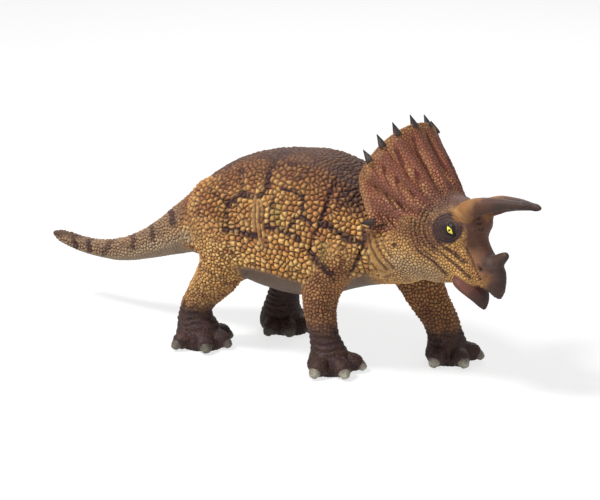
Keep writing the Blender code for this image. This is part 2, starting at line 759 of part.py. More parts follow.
def build():
    clear_scene()
    frame = head_frame()
    skin = painted("painted_skin", SKIN_OCHRE, 0.55)
    red = painted("painted_frill", FRILL_RED, 0.55)
    grey = painted("painted_horn", HORN_GREY, 0.45)
    brown = painted("painted_jaw", JAW_BROWN, 0.5)

    torso = dress(loft("torso", trunk_rings()), skin)
    tail = dress(loft("tail", tail_rings()), skin)
    head = dress(loft("head", skull_rings(), frame), skin)
    frill = dress(loft("frill", frill_rings(), frame), red)
    jaw = dress(loft("lower_jaw", jaw_rings(), frame), brown)
    nose_horn = dress(loft("nose_horn", nose_horn_rings(), frame), grey)
    horns = [
        dress(loft("brow_horn_right", horn_rings(-1), frame), grey),
        dress(loft("brow_horn_left", horn_rings(1), frame), grey),
    ]
    fore = (FORELEG_HEIGHT, FORELEG_GIRTH, FORELEG_SHARES)
    bent = (FORELEG_HEIGHT, FORELEG_GIRTH, FORELEG_BENT_SHARES)
    hind = (HINDLEG_HEIGHT, HINDLEG_GIRTH, HINDLEG_SHARES)
    legs = [
        leg("foreleg_right", *fore, FORE_RUN_RIGHT_SHARES, FORE_FOOT_RIGHT_SHARES, FORE_TOES_DEGREES),
        leg("foreleg_left", *bent, FORE_RUN_LEFT_SHARES, FORE_FOOT_LEFT_SHARES, FORE_TOES_DEGREES),
        leg("hindleg_right", *hind, HIND_RUN_RIGHT_SHARES, HIND_FOOT_RIGHT_SHARES, HIND_TOES_RIGHT_DEGREES),
        leg("hindleg_left", *hind, HIND_RUN_LEFT_SHARES, HIND_FOOT_LEFT_SHARES, HIND_TOES_LEFT_DEGREES),
    ]

    # The trunk and the skull run into each other, and are parted on the neck seam, half the gap each side
    trunk_guide = helper(loft("trunk_guide", trunk_rings()))
    skull_guide = helper(loft("skull_guide", skull_rings(), frame))
    side = TRUNK_WIDTH + OVERRUN
    far = TRUNK_LENGTH + TAIL_LENGTH
    seam = along_skull(NECK_SEAM_SHARE)
    ahead_of_seam = block("ahead_of_seam", (seam - GLUE_GAP / 2, -side, -side), (far, side, side), frame)
    behind_seam = block("behind_seam", (-far, -side, -far), (seam + GLUE_GAP / 2, side, far), frame)
    combine_head(torso, skull_guide, "UNION")
    combine_head(torso, ahead_of_seam, "DIFFERENCE")
    combine_head(head, trunk_guide, "UNION")
    combine_head(head, behind_seam, "DIFFERENCE")

    # Pegs of the neck and the tail
    neck_peg_level = SKULL_DEPTH * NECK_PEG_LEVEL_SHARE
    neck_peg_shape = peg_rings(seam - NECK_PEG_LENGTH, seam + OVERRUN, neck_peg_level, NECK_PEG_RADIUS)
    neck_peg = helper(loft("neck_peg", neck_peg_shape, frame))
    combine_head(head, neck_peg, "UNION")
    seat(torso, neck_peg)
    rump_level = TRUNK_HEIGHT * TRUNK_SHARES[0][3]
    tail_peg_end = TRUNK_REAR_X + TAIL_PEG_LENGTH
    tail_peg_shape = peg_rings(TRUNK_REAR_X - OVERRUN, tail_peg_end, rump_level, TAIL_PEG_RADIUS)
    tail_peg = helper(loft("tail_peg", tail_peg_shape))
    combine(tail, tail_peg, "UNION")
    seat(torso, tail_peg)

    for side_sign in (-1, 1):
        combine_head(head, helper(loft(f"brow_{side_sign}", brow_rings(side_sign), frame)), "UNION")
        combine_head(head, helper(loft(f"eye_{side_sign}", eye_rings(side_sign), frame)), "UNION")

    # Seats: the legs and the frill in the trunk, the frill, the horns and the jaw in the head
    for body in legs:
        dress(body, skin)
        seat(torso, body)
    for plug in (frill, *horns, nose_horn, jaw):
        seat(head, plug)
    seat(torso, frill)
    for number, (degrees, standing) in enumerate(zip(SPIKE_DEGREES, SPIKE_STANDING_SHARES)):
        for side_sign in (-1, 1) if degrees else (1,):
            rings = spike_rings(side_sign * degrees, standing)
            spike = helper(loft(f"spike_{number}_{side_sign}", rings, frame))
            combine(frill, spike, "UNION")
            seat(head, spike)
            seat(torso, spike)


build()
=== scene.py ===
# %% [markdown]
# # A walking horned dinosaur
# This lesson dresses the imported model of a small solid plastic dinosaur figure. The real figure is moulded in
# a dozen pieces, glued, and painted by hand: every scale stands up as a little ochre dome with brown paint
# rubbed into the crevices round it. We start from the model's plain solids, which say how large everything is,
# and make a skin over them that has the folds, the scales and the paint.

# %% Load the frame
import math

import bpy
import numpy as np
from mathutils import Matrix, Vector


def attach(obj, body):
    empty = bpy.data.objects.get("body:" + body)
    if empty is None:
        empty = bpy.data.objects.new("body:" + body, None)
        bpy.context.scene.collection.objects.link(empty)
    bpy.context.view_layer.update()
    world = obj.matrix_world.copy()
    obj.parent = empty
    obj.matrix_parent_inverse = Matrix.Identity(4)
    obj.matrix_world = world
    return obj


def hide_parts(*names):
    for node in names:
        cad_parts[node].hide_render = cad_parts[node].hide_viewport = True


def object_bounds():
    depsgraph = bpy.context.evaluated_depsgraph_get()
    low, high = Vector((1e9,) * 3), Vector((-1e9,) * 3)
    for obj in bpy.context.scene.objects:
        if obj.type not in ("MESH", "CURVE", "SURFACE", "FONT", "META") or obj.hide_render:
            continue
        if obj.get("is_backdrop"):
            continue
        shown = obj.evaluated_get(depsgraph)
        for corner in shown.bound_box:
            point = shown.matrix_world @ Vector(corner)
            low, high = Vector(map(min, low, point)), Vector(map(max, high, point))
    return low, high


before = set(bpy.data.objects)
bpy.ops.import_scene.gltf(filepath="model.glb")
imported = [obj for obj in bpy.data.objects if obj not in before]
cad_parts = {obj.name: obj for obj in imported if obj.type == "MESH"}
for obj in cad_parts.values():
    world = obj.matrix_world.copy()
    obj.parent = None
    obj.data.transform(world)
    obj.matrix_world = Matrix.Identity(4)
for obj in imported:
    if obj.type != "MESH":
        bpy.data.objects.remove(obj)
cad_low, cad_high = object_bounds()
print("solids:", sorted(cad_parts))
print("box in mm:", [round(1000 * side) for side in cad_high - cad_low])

# %% [markdown]
# ## Camera
# The photograph was taken from the figure's right, 30 degrees round towards its face and 17 degrees up, from
# about 90 cm. A camera can be turned with angles or with a tracking constraint; here three vectors do it:
# right, up and back. The same vectors also tell us which picture point a place on the skin falls on, and later
# we paint the stripes with that, as if we held a brush to the picture.

# %% Camera vectors and the picture point of a place
PICTURE_WIDTH = 600
PICTURE_HEIGHT = 500
SENSOR = 36.0
TURN = math.radians(30.0)
TILT = math.radians(17.0)
AIM = np.array([5.5, 0.0, 42.5])
AWAY = 900.0
PIXELS_PER_MM = 2.45

to_right = np.array([math.cos(TURN), math.sin(TURN), 0.0])
to_up = np.array([-math.sin(TURN) * math.sin(TILT), math.cos(TURN) * math.sin(TILT), math.cos(TILT)])
to_back = np.array([math.sin(TURN) * math.cos(TILT), -math.cos(TURN) * math.cos(TILT), math.sin(TILT)])


def picture_point(points):
    """Each place's pixel: its offsets along right and up, enlarged as the place comes nearer."""
    offset = points - AIM
    zoom = PIXELS_PER_MM * AWAY / (AWAY - offset @ to_back)
    across = PICTURE_WIDTH / 2 + zoom * (offset @ to_right)
    down = PICTURE_HEIGHT / 2 - zoom * (offset @ to_up)
    return np.stack([across, down], axis=1)


camera_data = bpy.data.cameras.new("camera")
camera_data.sensor_width = SENSOR
camera_data.lens = SENSOR * PIXELS_PER_MM * AWAY / PICTURE_WIDTH
camera_data.clip_end = 10.0
camera = bpy.data.objects.new("camera", camera_data)
turned = Matrix([to_right, to_up, to_back]).transposed().to_4x4()
camera.matrix_world = Matrix.Translation((AIM + AWAY * to_back) / 1000) @ turned
bpy.context.scene.collection.objects.link(camera)
bpy.context.scene.camera = camera
print("lens in mm:", round(camera_data.lens, 1), "aim lands on", picture_point(AIM[None])[0])

# %% [markdown]
# ## Small tools
# Three tools serve the whole lesson. The first draws a smooth curve through the rows of a table, so a body can
# be given by a dozen sections. The second puts arrays of points and faces into a mesh. The third makes a smooth
# noise, because nothing painted by hand is even.

# %% Curve through a table
# A distance beyond any here, in mm or pixels
NOWHERE = 1e9


def through(rows, places):
    """Values on a smooth curve through the rows: each stretch is a cubic with the rows' slopes."""
    table = np.array(rows, dtype=float)
    knots, values = table[:, 0], table[:, 1:]
    slopes = np.gradient(values, knots, axis=0)
    index = np.clip(np.searchsorted(knots, places, side="right") - 1, 0, len(knots) - 2)
    span = (knots[index + 1] - knots[index])[:, None]
    t = (np.asarray(places) - knots[index])[:, None] / span
    start = (1 + 2 * t) * (1 - t) ** 2 * values[index] + t * (1 - t) ** 2 * span * slopes[index]
    end = t * t * (3 - 2 * t) * values[index + 1] + t * t * (t - 1) * span * slopes[index + 1]
    return start + end


def ramp(value, low, high):
    """0 below low, 1 above high and an S-shaped curve between."""
    t = np.clip((value - low) / (high - low), 0.0, 1.0)
    return t * t * (3 - 2 * t)


def bell(distance, width):
    """1 in the middle and nearly 0 at twice the width: a bump or a soft brush stroke."""
    return np.exp(-((distance / width) ** 2))


def wave(value, period):
    """0 at every full period and 1 halfway between: wrinkles or ribs side by side."""
    return 0.5 - 0.5 * np.cos(value * math.tau / period)


def around(count):
    """Angles of that many points round a ring."""
    return np.arange(count) * math.tau / count


# %% Arrays into a mesh
def put_mesh(name, points, faces):
    """A mesh object from points in mm and a list of arrays of equal faces."""
    corners = np.concatenate([block.ravel() for block in faces]).astype(np.int32)
    sizes = np.concatenate([np.full(len(block), block.shape[1]) for block in faces])
    starts = np.concatenate([[0], np.cumsum(sizes)[:-1]]).astype(np.int32)
    mesh = bpy.data.meshes.new(name)
    mesh.vertices.add(len(points))
    mesh.vertices.foreach_set("co", (points / 1000).astype(np.float32).ravel())
    mesh.loops.add(len(corners))
    mesh.loops.foreach_set("vertex_index", corners)
    mesh.polygons.add(len(sizes))
    mesh.polygons.foreach_set("loop_start", starts)
    mesh.update(calc_edges=True)
    mesh.shade_smooth()
    obj = bpy.data.objects.new(name, mesh)
    bpy.context.scene.collection.objects.link(obj)
    return obj


def put_value(obj, name, values):
    """Keeps one number for each point on the mesh, for the material to read."""
    data = obj.data.attributes.new(name, "FLOAT", "POINT").data
    data.foreach_set("value", values.astype(np.float32))


def put_colour(obj, name, colours):
    """Keeps one colour for each point on the mesh."""
    rgba = np.concatenate([colours, np.ones((len(colours), 1))], axis=1)
    data = obj.data.attributes.new(name, "FLOAT_COLOR", "POINT").data
    data.foreach_set("color", rgba.astype(np.float32).ravel())


# %% Smooth noise
NOISE_BOX = 24
NOISE_START = 1000.0


def noise(points, size, seed):
    """Random numbers on a lattice of that size in mm, blended smoothly between: from -1 to 1."""
    table = np.random.default_rng(seed).uniform(-1.0, 1.0, (NOISE_BOX, NOISE_BOX, NOISE_BOX))
    place = points / size + NOISE_START
    corner = np.floor(place).astype(int)
    part = place - corner
    part = part * part * (3 - 2 * part)
    total = np.zeros(len(points))
    for number in range(8):
        step = np.array([number & 1, number >> 1 & 1, number >> 2])
        x, y, z = ((corner + step) % NOISE_BOX).T
        total += table[x, y, z] * np.prod(np.where(step == 1, part, 1 - part), axis=1)
    return total


# %% [markdown]
# ## The body's forms
# The trunk and the tail are rows of upright sections, each with its own top, bottom and width. The legs are
# rows of level sections that run up from the sole, and the skull has sections of its own in a frame that turns
# with the head. These are the same forms as the model's solids, so the skin lies where they lie; only the
# sections are closer together. The lengths are in mm, and the tables give shares of them.

# %% Trunk and tail
# Sections along each form, and points round each section
NET = {"trunk": (90, 80), "tail": (80, 56), "leg": (70, 48), "toe": (26, 24), "skull": (72, 64), "brow": (24, 18),
       "jaw": (40, 40), "horn": (60, 28), "nose horn": (24, 24), "frill": (180, 40), "thorn": (22, 28),
       "eye": (48, 96), "nail": (20, 28)}
MOUND_POINTS = 40
SIDES = (-1, 1)
SIDEWAYS = np.array([0.0, 1.0, 0.0])
TRUNK_REAR_X = -43.5
TRUNK_LENGTH = 115.5
TRUNK_HEIGHT = 85.5
TRUNK_WIDTH = 55.0
NECK_SWING = 8.5
TAIL_LENGTH = 76.4
TAIL_SWING = 2.0
FULLNESS = 0.88

# Way along the trunk, top, bottom and widest level, half width, swing to the right
TRUNK = (
    (0.000, 0.735, 0.407, 0.580, 0.227, 0.00),
    (0.056, 0.797, 0.402, 0.605, 0.300, 0.00),
    (0.108, 0.849, 0.388, 0.618, 0.364, 0.00),
    (0.169, 0.903, 0.368, 0.624, 0.418, 0.00),
    (0.238, 0.943, 0.348, 0.624, 0.455, 0.00),
    (0.325, 0.976, 0.322, 0.620, 0.487, 0.00),
    (0.429, 0.995, 0.305, 0.616, 0.500, 0.00),
    (0.532, 1.000, 0.312, 0.624, 0.496, 0.00),
    (0.610, 0.976, 0.341, 0.632, 0.482, 0.00),
    (0.688, 0.930, 0.382, 0.640, 0.445, 0.02),
    (0.766, 0.880, 0.415, 0.650, 0.395, 0.08),
    (0.844, 0.853, 0.437, 0.660, 0.340, 0.28),
    (0.922, 0.832, 0.466, 0.660, 0.285, 0.60),
    (1.000, 0.770, 0.545, 0.660, 0.185, 1.00),
)
# Way along the tail, top and bottom level, half width, swing
TAIL = (
    (0.000, 1.000, 0.554, 1.000, 0.00),
    (0.079, 0.911, 0.525, 0.896, 0.00),
    (0.165, 0.823, 0.496, 0.762, 0.00),
    (0.244, 0.742, 0.468, 0.648, 0.00),
    (0.323, 0.671, 0.440, 0.552, 0.05),
    (0.402, 0.612, 0.413, 0.478, 0.15),
    (0.488, 0.563, 0.392, 0.416, 0.30),
    (0.574, 0.527, 0.381, 0.364, 0.50),
    (0.653, 0.505, 0.379, 0.324, 0.70),
    (0.737, 0.497, 0.383, 0.290, 0.90),
    (0.825, 0.503, 0.397, 0.262, 1.00),
    (0.904, 0.516, 0.418, 0.236, 1.00),
    (0.965, 0.518, 0.444, 0.176, 0.95),
    (1.000, 0.505, 0.479, 0.060, 0.90),
)


def rounded(value):
    """A sine or cosine drawn out a little, so a section is fuller than an ellipse."""
    return np.sign(value) * np.abs(value) ** FULLNESS


def upright_rings(x, swing, top, bottom, widest, half_width, points):
    """Sections across X: the sine runs from the widest level up and down, the cosine to the sides."""
    angle = around(points)[None, :]
    lift = rounded(np.sin(angle))
    reach = np.where(lift >= 0, (top - widest)[:, None], (widest - bottom)[:, None])
    y = swing[:, None] + half_width[:, None] * rounded(np.cos(angle))
    return np.stack([np.broadcast_to(x[:, None], y.shape), y, widest[:, None] + reach * lift], axis=2)


def trunk_sections(places):
    """Middle, top, bottom, widest level and half width of the trunk at shares of its length."""
    *levels, half_width, swing = through(TRUNK, places).T
    return -NECK_SWING * swing, *(TRUNK_HEIGHT * level for level in levels), TRUNK_WIDTH * half_width


def tail_sections(places):
    """The same for the tail, which starts at the trunk's own rear section and gets slimmer."""
    rump_top, rump_widest, rump_half = (TRUNK[0][column] for column in (1, 3, 4))
    top, bottom, half_width, swing = through(TAIL, places).T
    level = TRUNK_HEIGHT * rump_top
    waist = (rump_widest / rump_top - TAIL[0][2]) / (1 - TAIL[0][2])
    widest = level * (bottom + (top - bottom) * waist)
    return TAIL_SWING * swing, level * top, level * bottom, widest, TRUNK_WIDTH * rump_half * half_width


TAIL_OVERLAP = 0.04
sections, points = NET["trunk"]
along = np.linspace(0.0, 1.0, sections)
trunk_rings = upright_rings(TRUNK_REAR_X + TRUNK_LENGTH * along, *trunk_sections(along), points)
sections, points = NET["tail"]
along = np.linspace(-TAIL_OVERLAP, 1.0, sections)
tail_rings = upright_rings(TRUNK_REAR_X - TAIL_LENGTH * along, *tail_sections(along), points)
print("trunk", trunk_rings.shape, "tail", tail_rings.shape)

# %% Legs and toes
LEG_SIZES = {"fore": (66.0, 25.0), "bent": (66.0, 25.0), "hind": (73.5, 29.0)}
# Height, half size fore and aft, half size sideways
LEG_GIRTHS = {
    "fore": (
        (0.000, 0.350, 0.330), (0.035, 0.385, 0.360), (0.080, 0.350, 0.335), (0.140, 0.290, 0.285),
        (0.215, 0.246, 0.246), (0.305, 0.258, 0.250), (0.410, 0.292, 0.270), (0.515, 0.342, 0.305),
        (0.635, 0.420, 0.352), (0.760, 0.492, 0.380), (0.880, 0.440, 0.335), (0.965, 0.270, 0.200),
        (1.000, 0.100, 0.080),
    ),
    "bent": (
        (0.000, 0.350, 0.330), (0.035, 0.385, 0.360), (0.080, 0.355, 0.340), (0.140, 0.310, 0.300),
        (0.215, 0.290, 0.275), (0.305, 0.315, 0.290), (0.410, 0.352, 0.312), (0.515, 0.402, 0.340),
        (0.635, 0.450, 0.370), (0.760, 0.492, 0.380), (0.880, 0.440, 0.335), (0.965, 0.270, 0.200),
        (1.000, 0.100, 0.080),
    ),
    "hind": (
        (0.000, 0.330, 0.300), (0.030, 0.362, 0.325), (0.070, 0.345, 0.312), (0.125, 0.300, 0.280),
        (0.185, 0.248, 0.242), (0.245, 0.228, 0.232), (0.300, 0.240, 0.244), (0.367, 0.292, 0.272),
        (0.449, 0.340, 0.310), (0.544, 0.380, 0.340), (0.653, 0.478, 0.365), (0.775, 0.500, 0.365),
        (0.885, 0.425, 0.305), (0.966, 0.260, 0.190), (1.000, 0.100, 0.070),
    ),
}
# Each leg: its kind, its foot's place, its toes in degrees, and the run of its middle: height, forward, left
LEGS = {
    "foreleg_right": ("fore", (29.5, -17.0), (-92.0, -34.0, 24.0), (
        (0.000, 0.000, 0.000), (0.140, -0.040, 0.000), (0.215, -0.110, 0.000), (0.305, -0.170, 0.000),
        (0.410, -0.200, 0.000), (0.515, -0.160, 0.000), (0.635, -0.010, -0.010), (0.760, 0.150, -0.040),
        (1.000, 0.290, 0.030),
    )),
    "foreleg_left": ("bent", (65.0, 18.0), (-92.0, -34.0, 24.0), (
        (0.000, 0.000, 0.000), (0.140, -0.040, 0.000), (0.225, -0.140, 0.000), (0.295, -0.260, 0.000),
        (0.365, -0.390, 0.000), (0.435, -0.510, 0.000), (0.515, -0.650, 0.000), (0.635, -0.850, 0.000),
        (0.760, -1.020, 0.010), (1.000, -1.160, -0.060),
    )),
    "hindleg_right": ("hind", (-32.5, -16.5), (-112.0, -48.0, 2.0, 56.0), (
        (0.000, 0.010, 0.000), (0.070, -0.020, 0.000), (0.125, -0.045, 0.000), (0.185, -0.085, 0.000),
        (0.245, -0.030, 0.000), (0.300, 0.085, 0.000), (0.367, 0.225, -0.010), (0.449, 0.362, -0.020),
        (0.544, 0.465, -0.040), (0.653, 0.440, -0.055), (0.775, 0.370, -0.050), (1.000, 0.270, 0.050),
    )),
    "hindleg_left": ("hind", (-13.0, 18.0), (-90.0, -48.0, -2.0, 50.0), (
        (0.000, 0.050, 0.000), (0.070, 0.000, 0.000), (0.140, -0.030, 0.000), (0.210, 0.000, 0.000),
        (0.280, 0.060, 0.000), (0.367, 0.130, 0.000), (0.449, 0.120, 0.000), (0.544, 0.040, 0.000),
        (0.653, -0.110, 0.000), (0.775, -0.250, 0.000), (1.000, -0.390, -0.080),
    )),
}
TOE_REACH = 13.4
TOE_RADIUS = 4.0
TOE_FLOOR = 0.1
# Way out from the foot's middle, height of the toe's middle, radius
TOE = ((0.28, 1.20, 0.85), (0.55, 1.12, 0.98), (0.74, 0.92, 0.94), (0.85, 0.72, 0.78), (0.91, 0.60, 0.52),
       (0.94, 0.55, 0.24))


def tube_rings(path, radius, side_axis, points, flatness=1.0):
    """Rings square to a path, drawn with a side vector and one square to both; flatness narrows them sideways."""
    ahead = np.gradient(path, axis=0)
    ahead /= np.linalg.norm(ahead, axis=1)[:, None]
    side = side_axis - ahead * (ahead @ side_axis)[:, None]
    side /= np.linalg.norm(side, axis=1)[:, None]
    over = np.cross(ahead, side)
    angle = around(points)[None, :, None]
    wide = side[:, None, :] * np.cos(angle) * flatness
    return path[:, None, :] + (wide + over[:, None, :] * np.sin(angle)) * radius[:, None, None]


def leg_sections(name, places):
    """Level, middle and half sizes of a leg; a section that leans is drawn out by its lean."""
    kind, foot, _, run = LEGS[name]
    height, girth = LEG_SIZES[kind]
    half_x, half_y = (girth * through(LEG_GIRTHS[kind], places)).T
    ahead, aside = (girth * through(run, places)).T
    lean = np.gradient(ahead, height * places)
    return height * places, foot[0] + ahead, foot[1] + aside, half_x * np.sqrt(1 + lean * lean), half_y


def leg_rings(name):
    """Ellipses on the leg's sections, from the sole up."""
    sections, points = NET["leg"]
    level, middle_x, middle_y, half_x, half_y = leg_sections(name, np.linspace(0.0, 1.0, sections))
    angle = around(points)[None, :]
    x = middle_x[:, None] + half_x[:, None] * np.cos(angle)
    y = middle_y[:, None] + half_y[:, None] * np.sin(angle)
    return np.stack([x, y, np.broadcast_to(level[:, None], x.shape)], axis=2)


def toe_path(foot, degrees, out, level):
    """Points along a toe that leaves the foot at an angle."""
    way = math.radians(degrees)
    x = foot[0] + TOE_REACH * out * math.cos(way)
    y = foot[1] + TOE_REACH * out * math.sin(way)
    return np.stack([x, y, TOE_RADIUS * level], axis=1)


def toe_side(degrees):
    """The level direction square to a toe."""
    way = math.radians(degrees)
    return np.array([-math.sin(way), math.cos(way), 0.0])


def toe_rings(foot, degrees):
    """A tube along the toe, pressed flat on the floor."""
    sections, points = NET["toe"]
    places = np.linspace(TOE[0][0], TOE[-1][0], sections)
    level, radius = through(TOE, places).T
    rings = tube_rings(toe_path(foot, degrees, places, level), TOE_RADIUS * radius, toe_side(degrees), points)
    rings[:, :, 2] = np.maximum(rings[:, :, 2], TOE_FLOOR)
    return rings


# %% Head frame, skull and brows
HEAD_PLACE = np.array([88.0, -13.5, 68.486])
HEAD_TURN = [math.radians(angle) for angle in (0.9, 25.2, -17.0)]
SKULL_LENGTH = 60.0
SKULL_REAR = 34.0
SKULL_DEPTH = 33.0
SKULL_WIDTH = 31.0
NECK_SEAM = -23.5
# Way along the skull, top, bottom and widest level, half width
SKULL = (
    (0.000, -0.280, -0.800, -0.550, 0.220), (0.067, -0.160, -0.900, -0.480, 0.360),
    (0.133, -0.030, -0.950, -0.430, 0.450), (0.233, 0.085, -0.980, -0.390, 0.485),
    (0.350, 0.165, -1.040, -0.340, 0.450), (0.467, 0.218, -0.970, -0.290, 0.394),
    (0.567, 0.225, -0.865, -0.260, 0.325), (0.633, 0.130, -0.770, -0.270, 0.250),
    (0.700, 0.000, -0.680, -0.300, 0.205), (0.758, -0.080, -0.600, -0.320, 0.190),
    (0.817, -0.118, -0.535, -0.330, 0.180), (0.875, -0.128, -0.503, -0.335, 0.158),
    (0.925, -0.148, -0.494, -0.350, 0.132), (0.967, -0.212, -0.509, -0.380, 0.097),
    (1.000, -0.333, -0.500, -0.430, 0.035),
)
# Way along the skull, place outward, level, thickness of the ridge over the eye
BROW = ((0.467, 0.234, 0.100, 0.40), (0.507, 0.232, 0.164, 0.85), (0.565, 0.215, 0.178, 1.00),
        (0.612, 0.186, 0.140, 0.95), (0.640, 0.150, 0.060, 0.70), (0.652, 0.120, -0.040, 0.40))
BROW_RADIUS = 2.2
# The mound that carries an eye: its place along the skull and outward, then radius and height of its rings
MOUND = (0.567, 0.220)
MOUND_RADIUS = 6.0
MOUND_HEIGHT = 2.8
MOUND_RINGS = ((0.90, -1.60), (1.00, -0.05), (0.97, 0.20), (0.88, 0.42), (0.70, 0.62), (0.45, 0.78), (0.15, 0.85))

turn_x, turn_y, turn_z = (Matrix.Rotation(angle, 3, axis) for angle, axis in zip(HEAD_TURN, "XYZ"))
head_axes = np.array(turn_z @ turn_y @ turn_x)


def to_head(points):
    """Places in the head's own frame: x along the snout, y to its left, z up, 0 between the eyes."""
    return (points - HEAD_PLACE) @ head_axes


def from_head(points):
    """The other way, from the head's frame to the figure's."""
    return points @ head_axes.T + HEAD_PLACE


def skull_sections(places):
    """Middle, top, bottom, widest level and half width of the skull at shares of its length."""
    *levels, half_width = through(SKULL, places).T
    return np.zeros(len(places)), *(SKULL_DEPTH * level for level in levels), SKULL_WIDTH * half_width


def brow_rings(side):
    """A ridge over one eye, on a curved path."""
    sections, points = NET["brow"]
    places = np.linspace(BROW[0][0], BROW[-1][0], sections)
    out, level, thickness = through(BROW, places).T
    path = np.stack([SKULL_LENGTH * places - SKULL_REAR, side * SKULL_WIDTH * out, SKULL_DEPTH * level], axis=1)
    return tube_rings(path, BROW_RADIUS * thickness, SIDEWAYS, points)


def mound_rings(side):
    """Circles about the Y axis that shrink as they rise: the low dome the eye sits on."""
    radius, height = np.array(MOUND_RINGS).T
    angle = around(MOUND_POINTS)[None, :]
    x = SKULL_LENGTH * MOUND[0] - SKULL_REAR + MOUND_RADIUS * radius[:, None] * np.cos(angle)
    z = MOUND_RADIUS * radius[:, None] * np.sin(angle)
    y = side * (SKULL_WIDTH * MOUND[1] + MOUND_HEIGHT * height)
    return np.stack([x, np.broadcast_to(y[:, None], x.shape), z], axis=2)


# %% Lower jaw, horns and frill
JAW_LENGTH = 15.0
JAW_REAR = 6.32
JAW_DEPTH = 8.8
JAW_LEVEL = -25.48
JAW_WIDTH = 14.0
# Way along the jaw, top and bottom over its lowest level, half width
JAW = ((0.00, 0.920, 0.260, 0.480), (0.20, 0.900, 0.240, 0.490), (0.40, 0.830, 0.220, 0.470),
       (0.60, 0.740, 0.190, 0.400), (0.76, 0.640, 0.140, 0.310), (0.90, 0.440, 0.060, 0.200),
       (1.00, 0.150, 0.000, 0.060))
# Places in the head's frame
HORN_ROOT = (-2.98, 4.59, 1.58)
# Reach, spread, rise, drop and tilt of the left one against the right, radius
HORN_SIZES = (26.4, 1.6, 24.9, 0.8, 0.9, 3.8)
# Way along the horn, forward, up and outward, radius
HORN = ((0.00, 0.000, 0.000, 0.00, 0.66), (0.10, 0.062, 0.157, 0.50, 0.87), (0.27, 0.190, 0.345, 1.00, 0.98),
        (0.41, 0.330, 0.502, 1.00, 0.88), (0.56, 0.492, 0.647, 0.80, 0.73), (0.71, 0.663, 0.779, 0.50, 0.57),
        (0.86, 0.834, 0.895, 0.20, 0.42), (0.97, 0.963, 0.977, 0.00, 0.29), (1.00, 1.000, 1.000, 0.00, 0.14))
NOSE_HORN_ROOT = (17.2, -6.5)
NOSE_HORN_FLATNESS = 0.78
# Forward, up, radius of the nose horn, in mm
NOSE_HORN = ((0.0, 0.0, 0.0, 3.4), (0.4, 1.26, 3.34, 3.1), (0.75, 3.02, 6.86, 2.1), (0.93, 4.03, 8.36, 1.4),
             (1.0, 4.2, 8.8, 0.6))
FRILL_END = math.radians(130.0)
FRILL_ROOT_X = -13.3
FRILL_ROOT = (10.5, 8.0)
FRILL_LEVELS = (-3.5, -1.0)
FRILL_RIM = 20.0
FRILL_REACH = 28.7
FRILL_THICKNESS = 3.0
FRILL_SAG = 1.8
FRILL_RIDGES = 9
FRILL_RIDGE_HEIGHT = 0.6
# For turning the frill's shape round: repeats, the root's mean radius, and a small step in angle
FRILL_GUESSES = 4
FRILL_ROOT_RADIUS = 9.0
FRILL_STEP = 0.05
# Angle from the top as a share of the end angle, reach behind the root, radius of the rim
FRILL = ((0.000, 1.000, 0.970), (0.300, 1.005, 0.985), (0.600, 1.015, 1.000), (0.800, 1.000, 0.995),
         (0.900, 0.860, 1.080), (0.960, 0.660, 1.210), (1.000, 0.540, 1.290))


def jaw_sections(places):
    """Middle, top, bottom, widest level and half width of the lower beak."""
    top, bottom, half_width = through(JAW, places).T
    low, high = JAW_LEVEL + JAW_DEPTH * bottom, JAW_LEVEL + JAW_DEPTH * top
    return np.zeros(len(places)), high, low, (low + high) / 2, JAW_WIDTH * half_width


def horn_path(side, places):
    """Middle and radius of a brow horn: it climbs out of the skull and levels off forward."""
    ahead, up, out, radius = through(HORN, places).T
    reach, spread, rise, drop, tilt, thick = HORN_SIZES
    path = [HORN_ROOT[0] + reach * ahead, side * (HORN_ROOT[1] + spread * out),
            HORN_ROOT[2] + rise * up - side * (drop + tilt * ahead)]
    return np.stack(path, axis=1), thick * radius


def nose_horn_path(places):
    """Middle and radius of the short blunt horn on the nose."""
    ahead, up, radius = through(NOSE_HORN, places).T
    return np.stack([NOSE_HORN_ROOT[0] + ahead, 0 * ahead, NOSE_HORN_ROOT[1] + up], axis=1), radius


def frill_middle(reach, way):
    """Where the frill's middle line lies: it runs back as far as it reaches, sags, and rises with its level."""
    level = FRILL_LEVELS[0] + (FRILL_LEVELS[1] - FRILL_LEVELS[0]) * way
    return FRILL_ROOT_X - FRILL_REACH * reach * way - FRILL_SAG * 4 * way * (1 - way), level


def frill_sheet(angle, way):
    """The frill's middle surface: a cone from an oval round the skull to the rim, hollowed between the two."""
    reach, radius = through(FRILL, np.abs(angle).ravel() / FRILL_END).T.reshape(2, *angle.shape)
    wide, tall = (half + (FRILL_RIM * radius - half) * way for half in FRILL_ROOT)
    x, level = frill_middle(reach, way)
    return np.stack([x, -wide * np.sin(angle), level + tall * np.cos(angle)], axis=-1)


def frill_ridge(angle):
    """1 on the frill's ridges and -1 in the grooves between them."""
    return np.cos(FRILL_RIDGES * math.pi * angle / FRILL_END)


def frill_rings():
    """Sections from one end of the frill round to the other, ridged in front, thin at the rim."""
    sections, points = NET["frill"]
    angle, way = np.meshgrid(np.linspace(-FRILL_END, FRILL_END, sections), np.linspace(0.0, 1.0, points),
                             indexing="ij")
    sheet = frill_sheet(angle, way)
    normal = np.cross(np.gradient(sheet, axis=0), np.gradient(sheet, axis=1))
    normal /= np.linalg.norm(normal, axis=2)[:, :, None]
    normal *= np.sign(normal[:, :, :1])
    half = (FRILL_THICKNESS / 2 * (1 - way / 2))[:, :, None]
    ridge = (FRILL_RIDGE_HEIGHT * frill_ridge(angle) * np.sin(math.pi * way))[:, :, None]
    return np.concatenate([sheet + normal * (half + ridge), (sheet - normal * half)[:, ::-1]], axis=1)


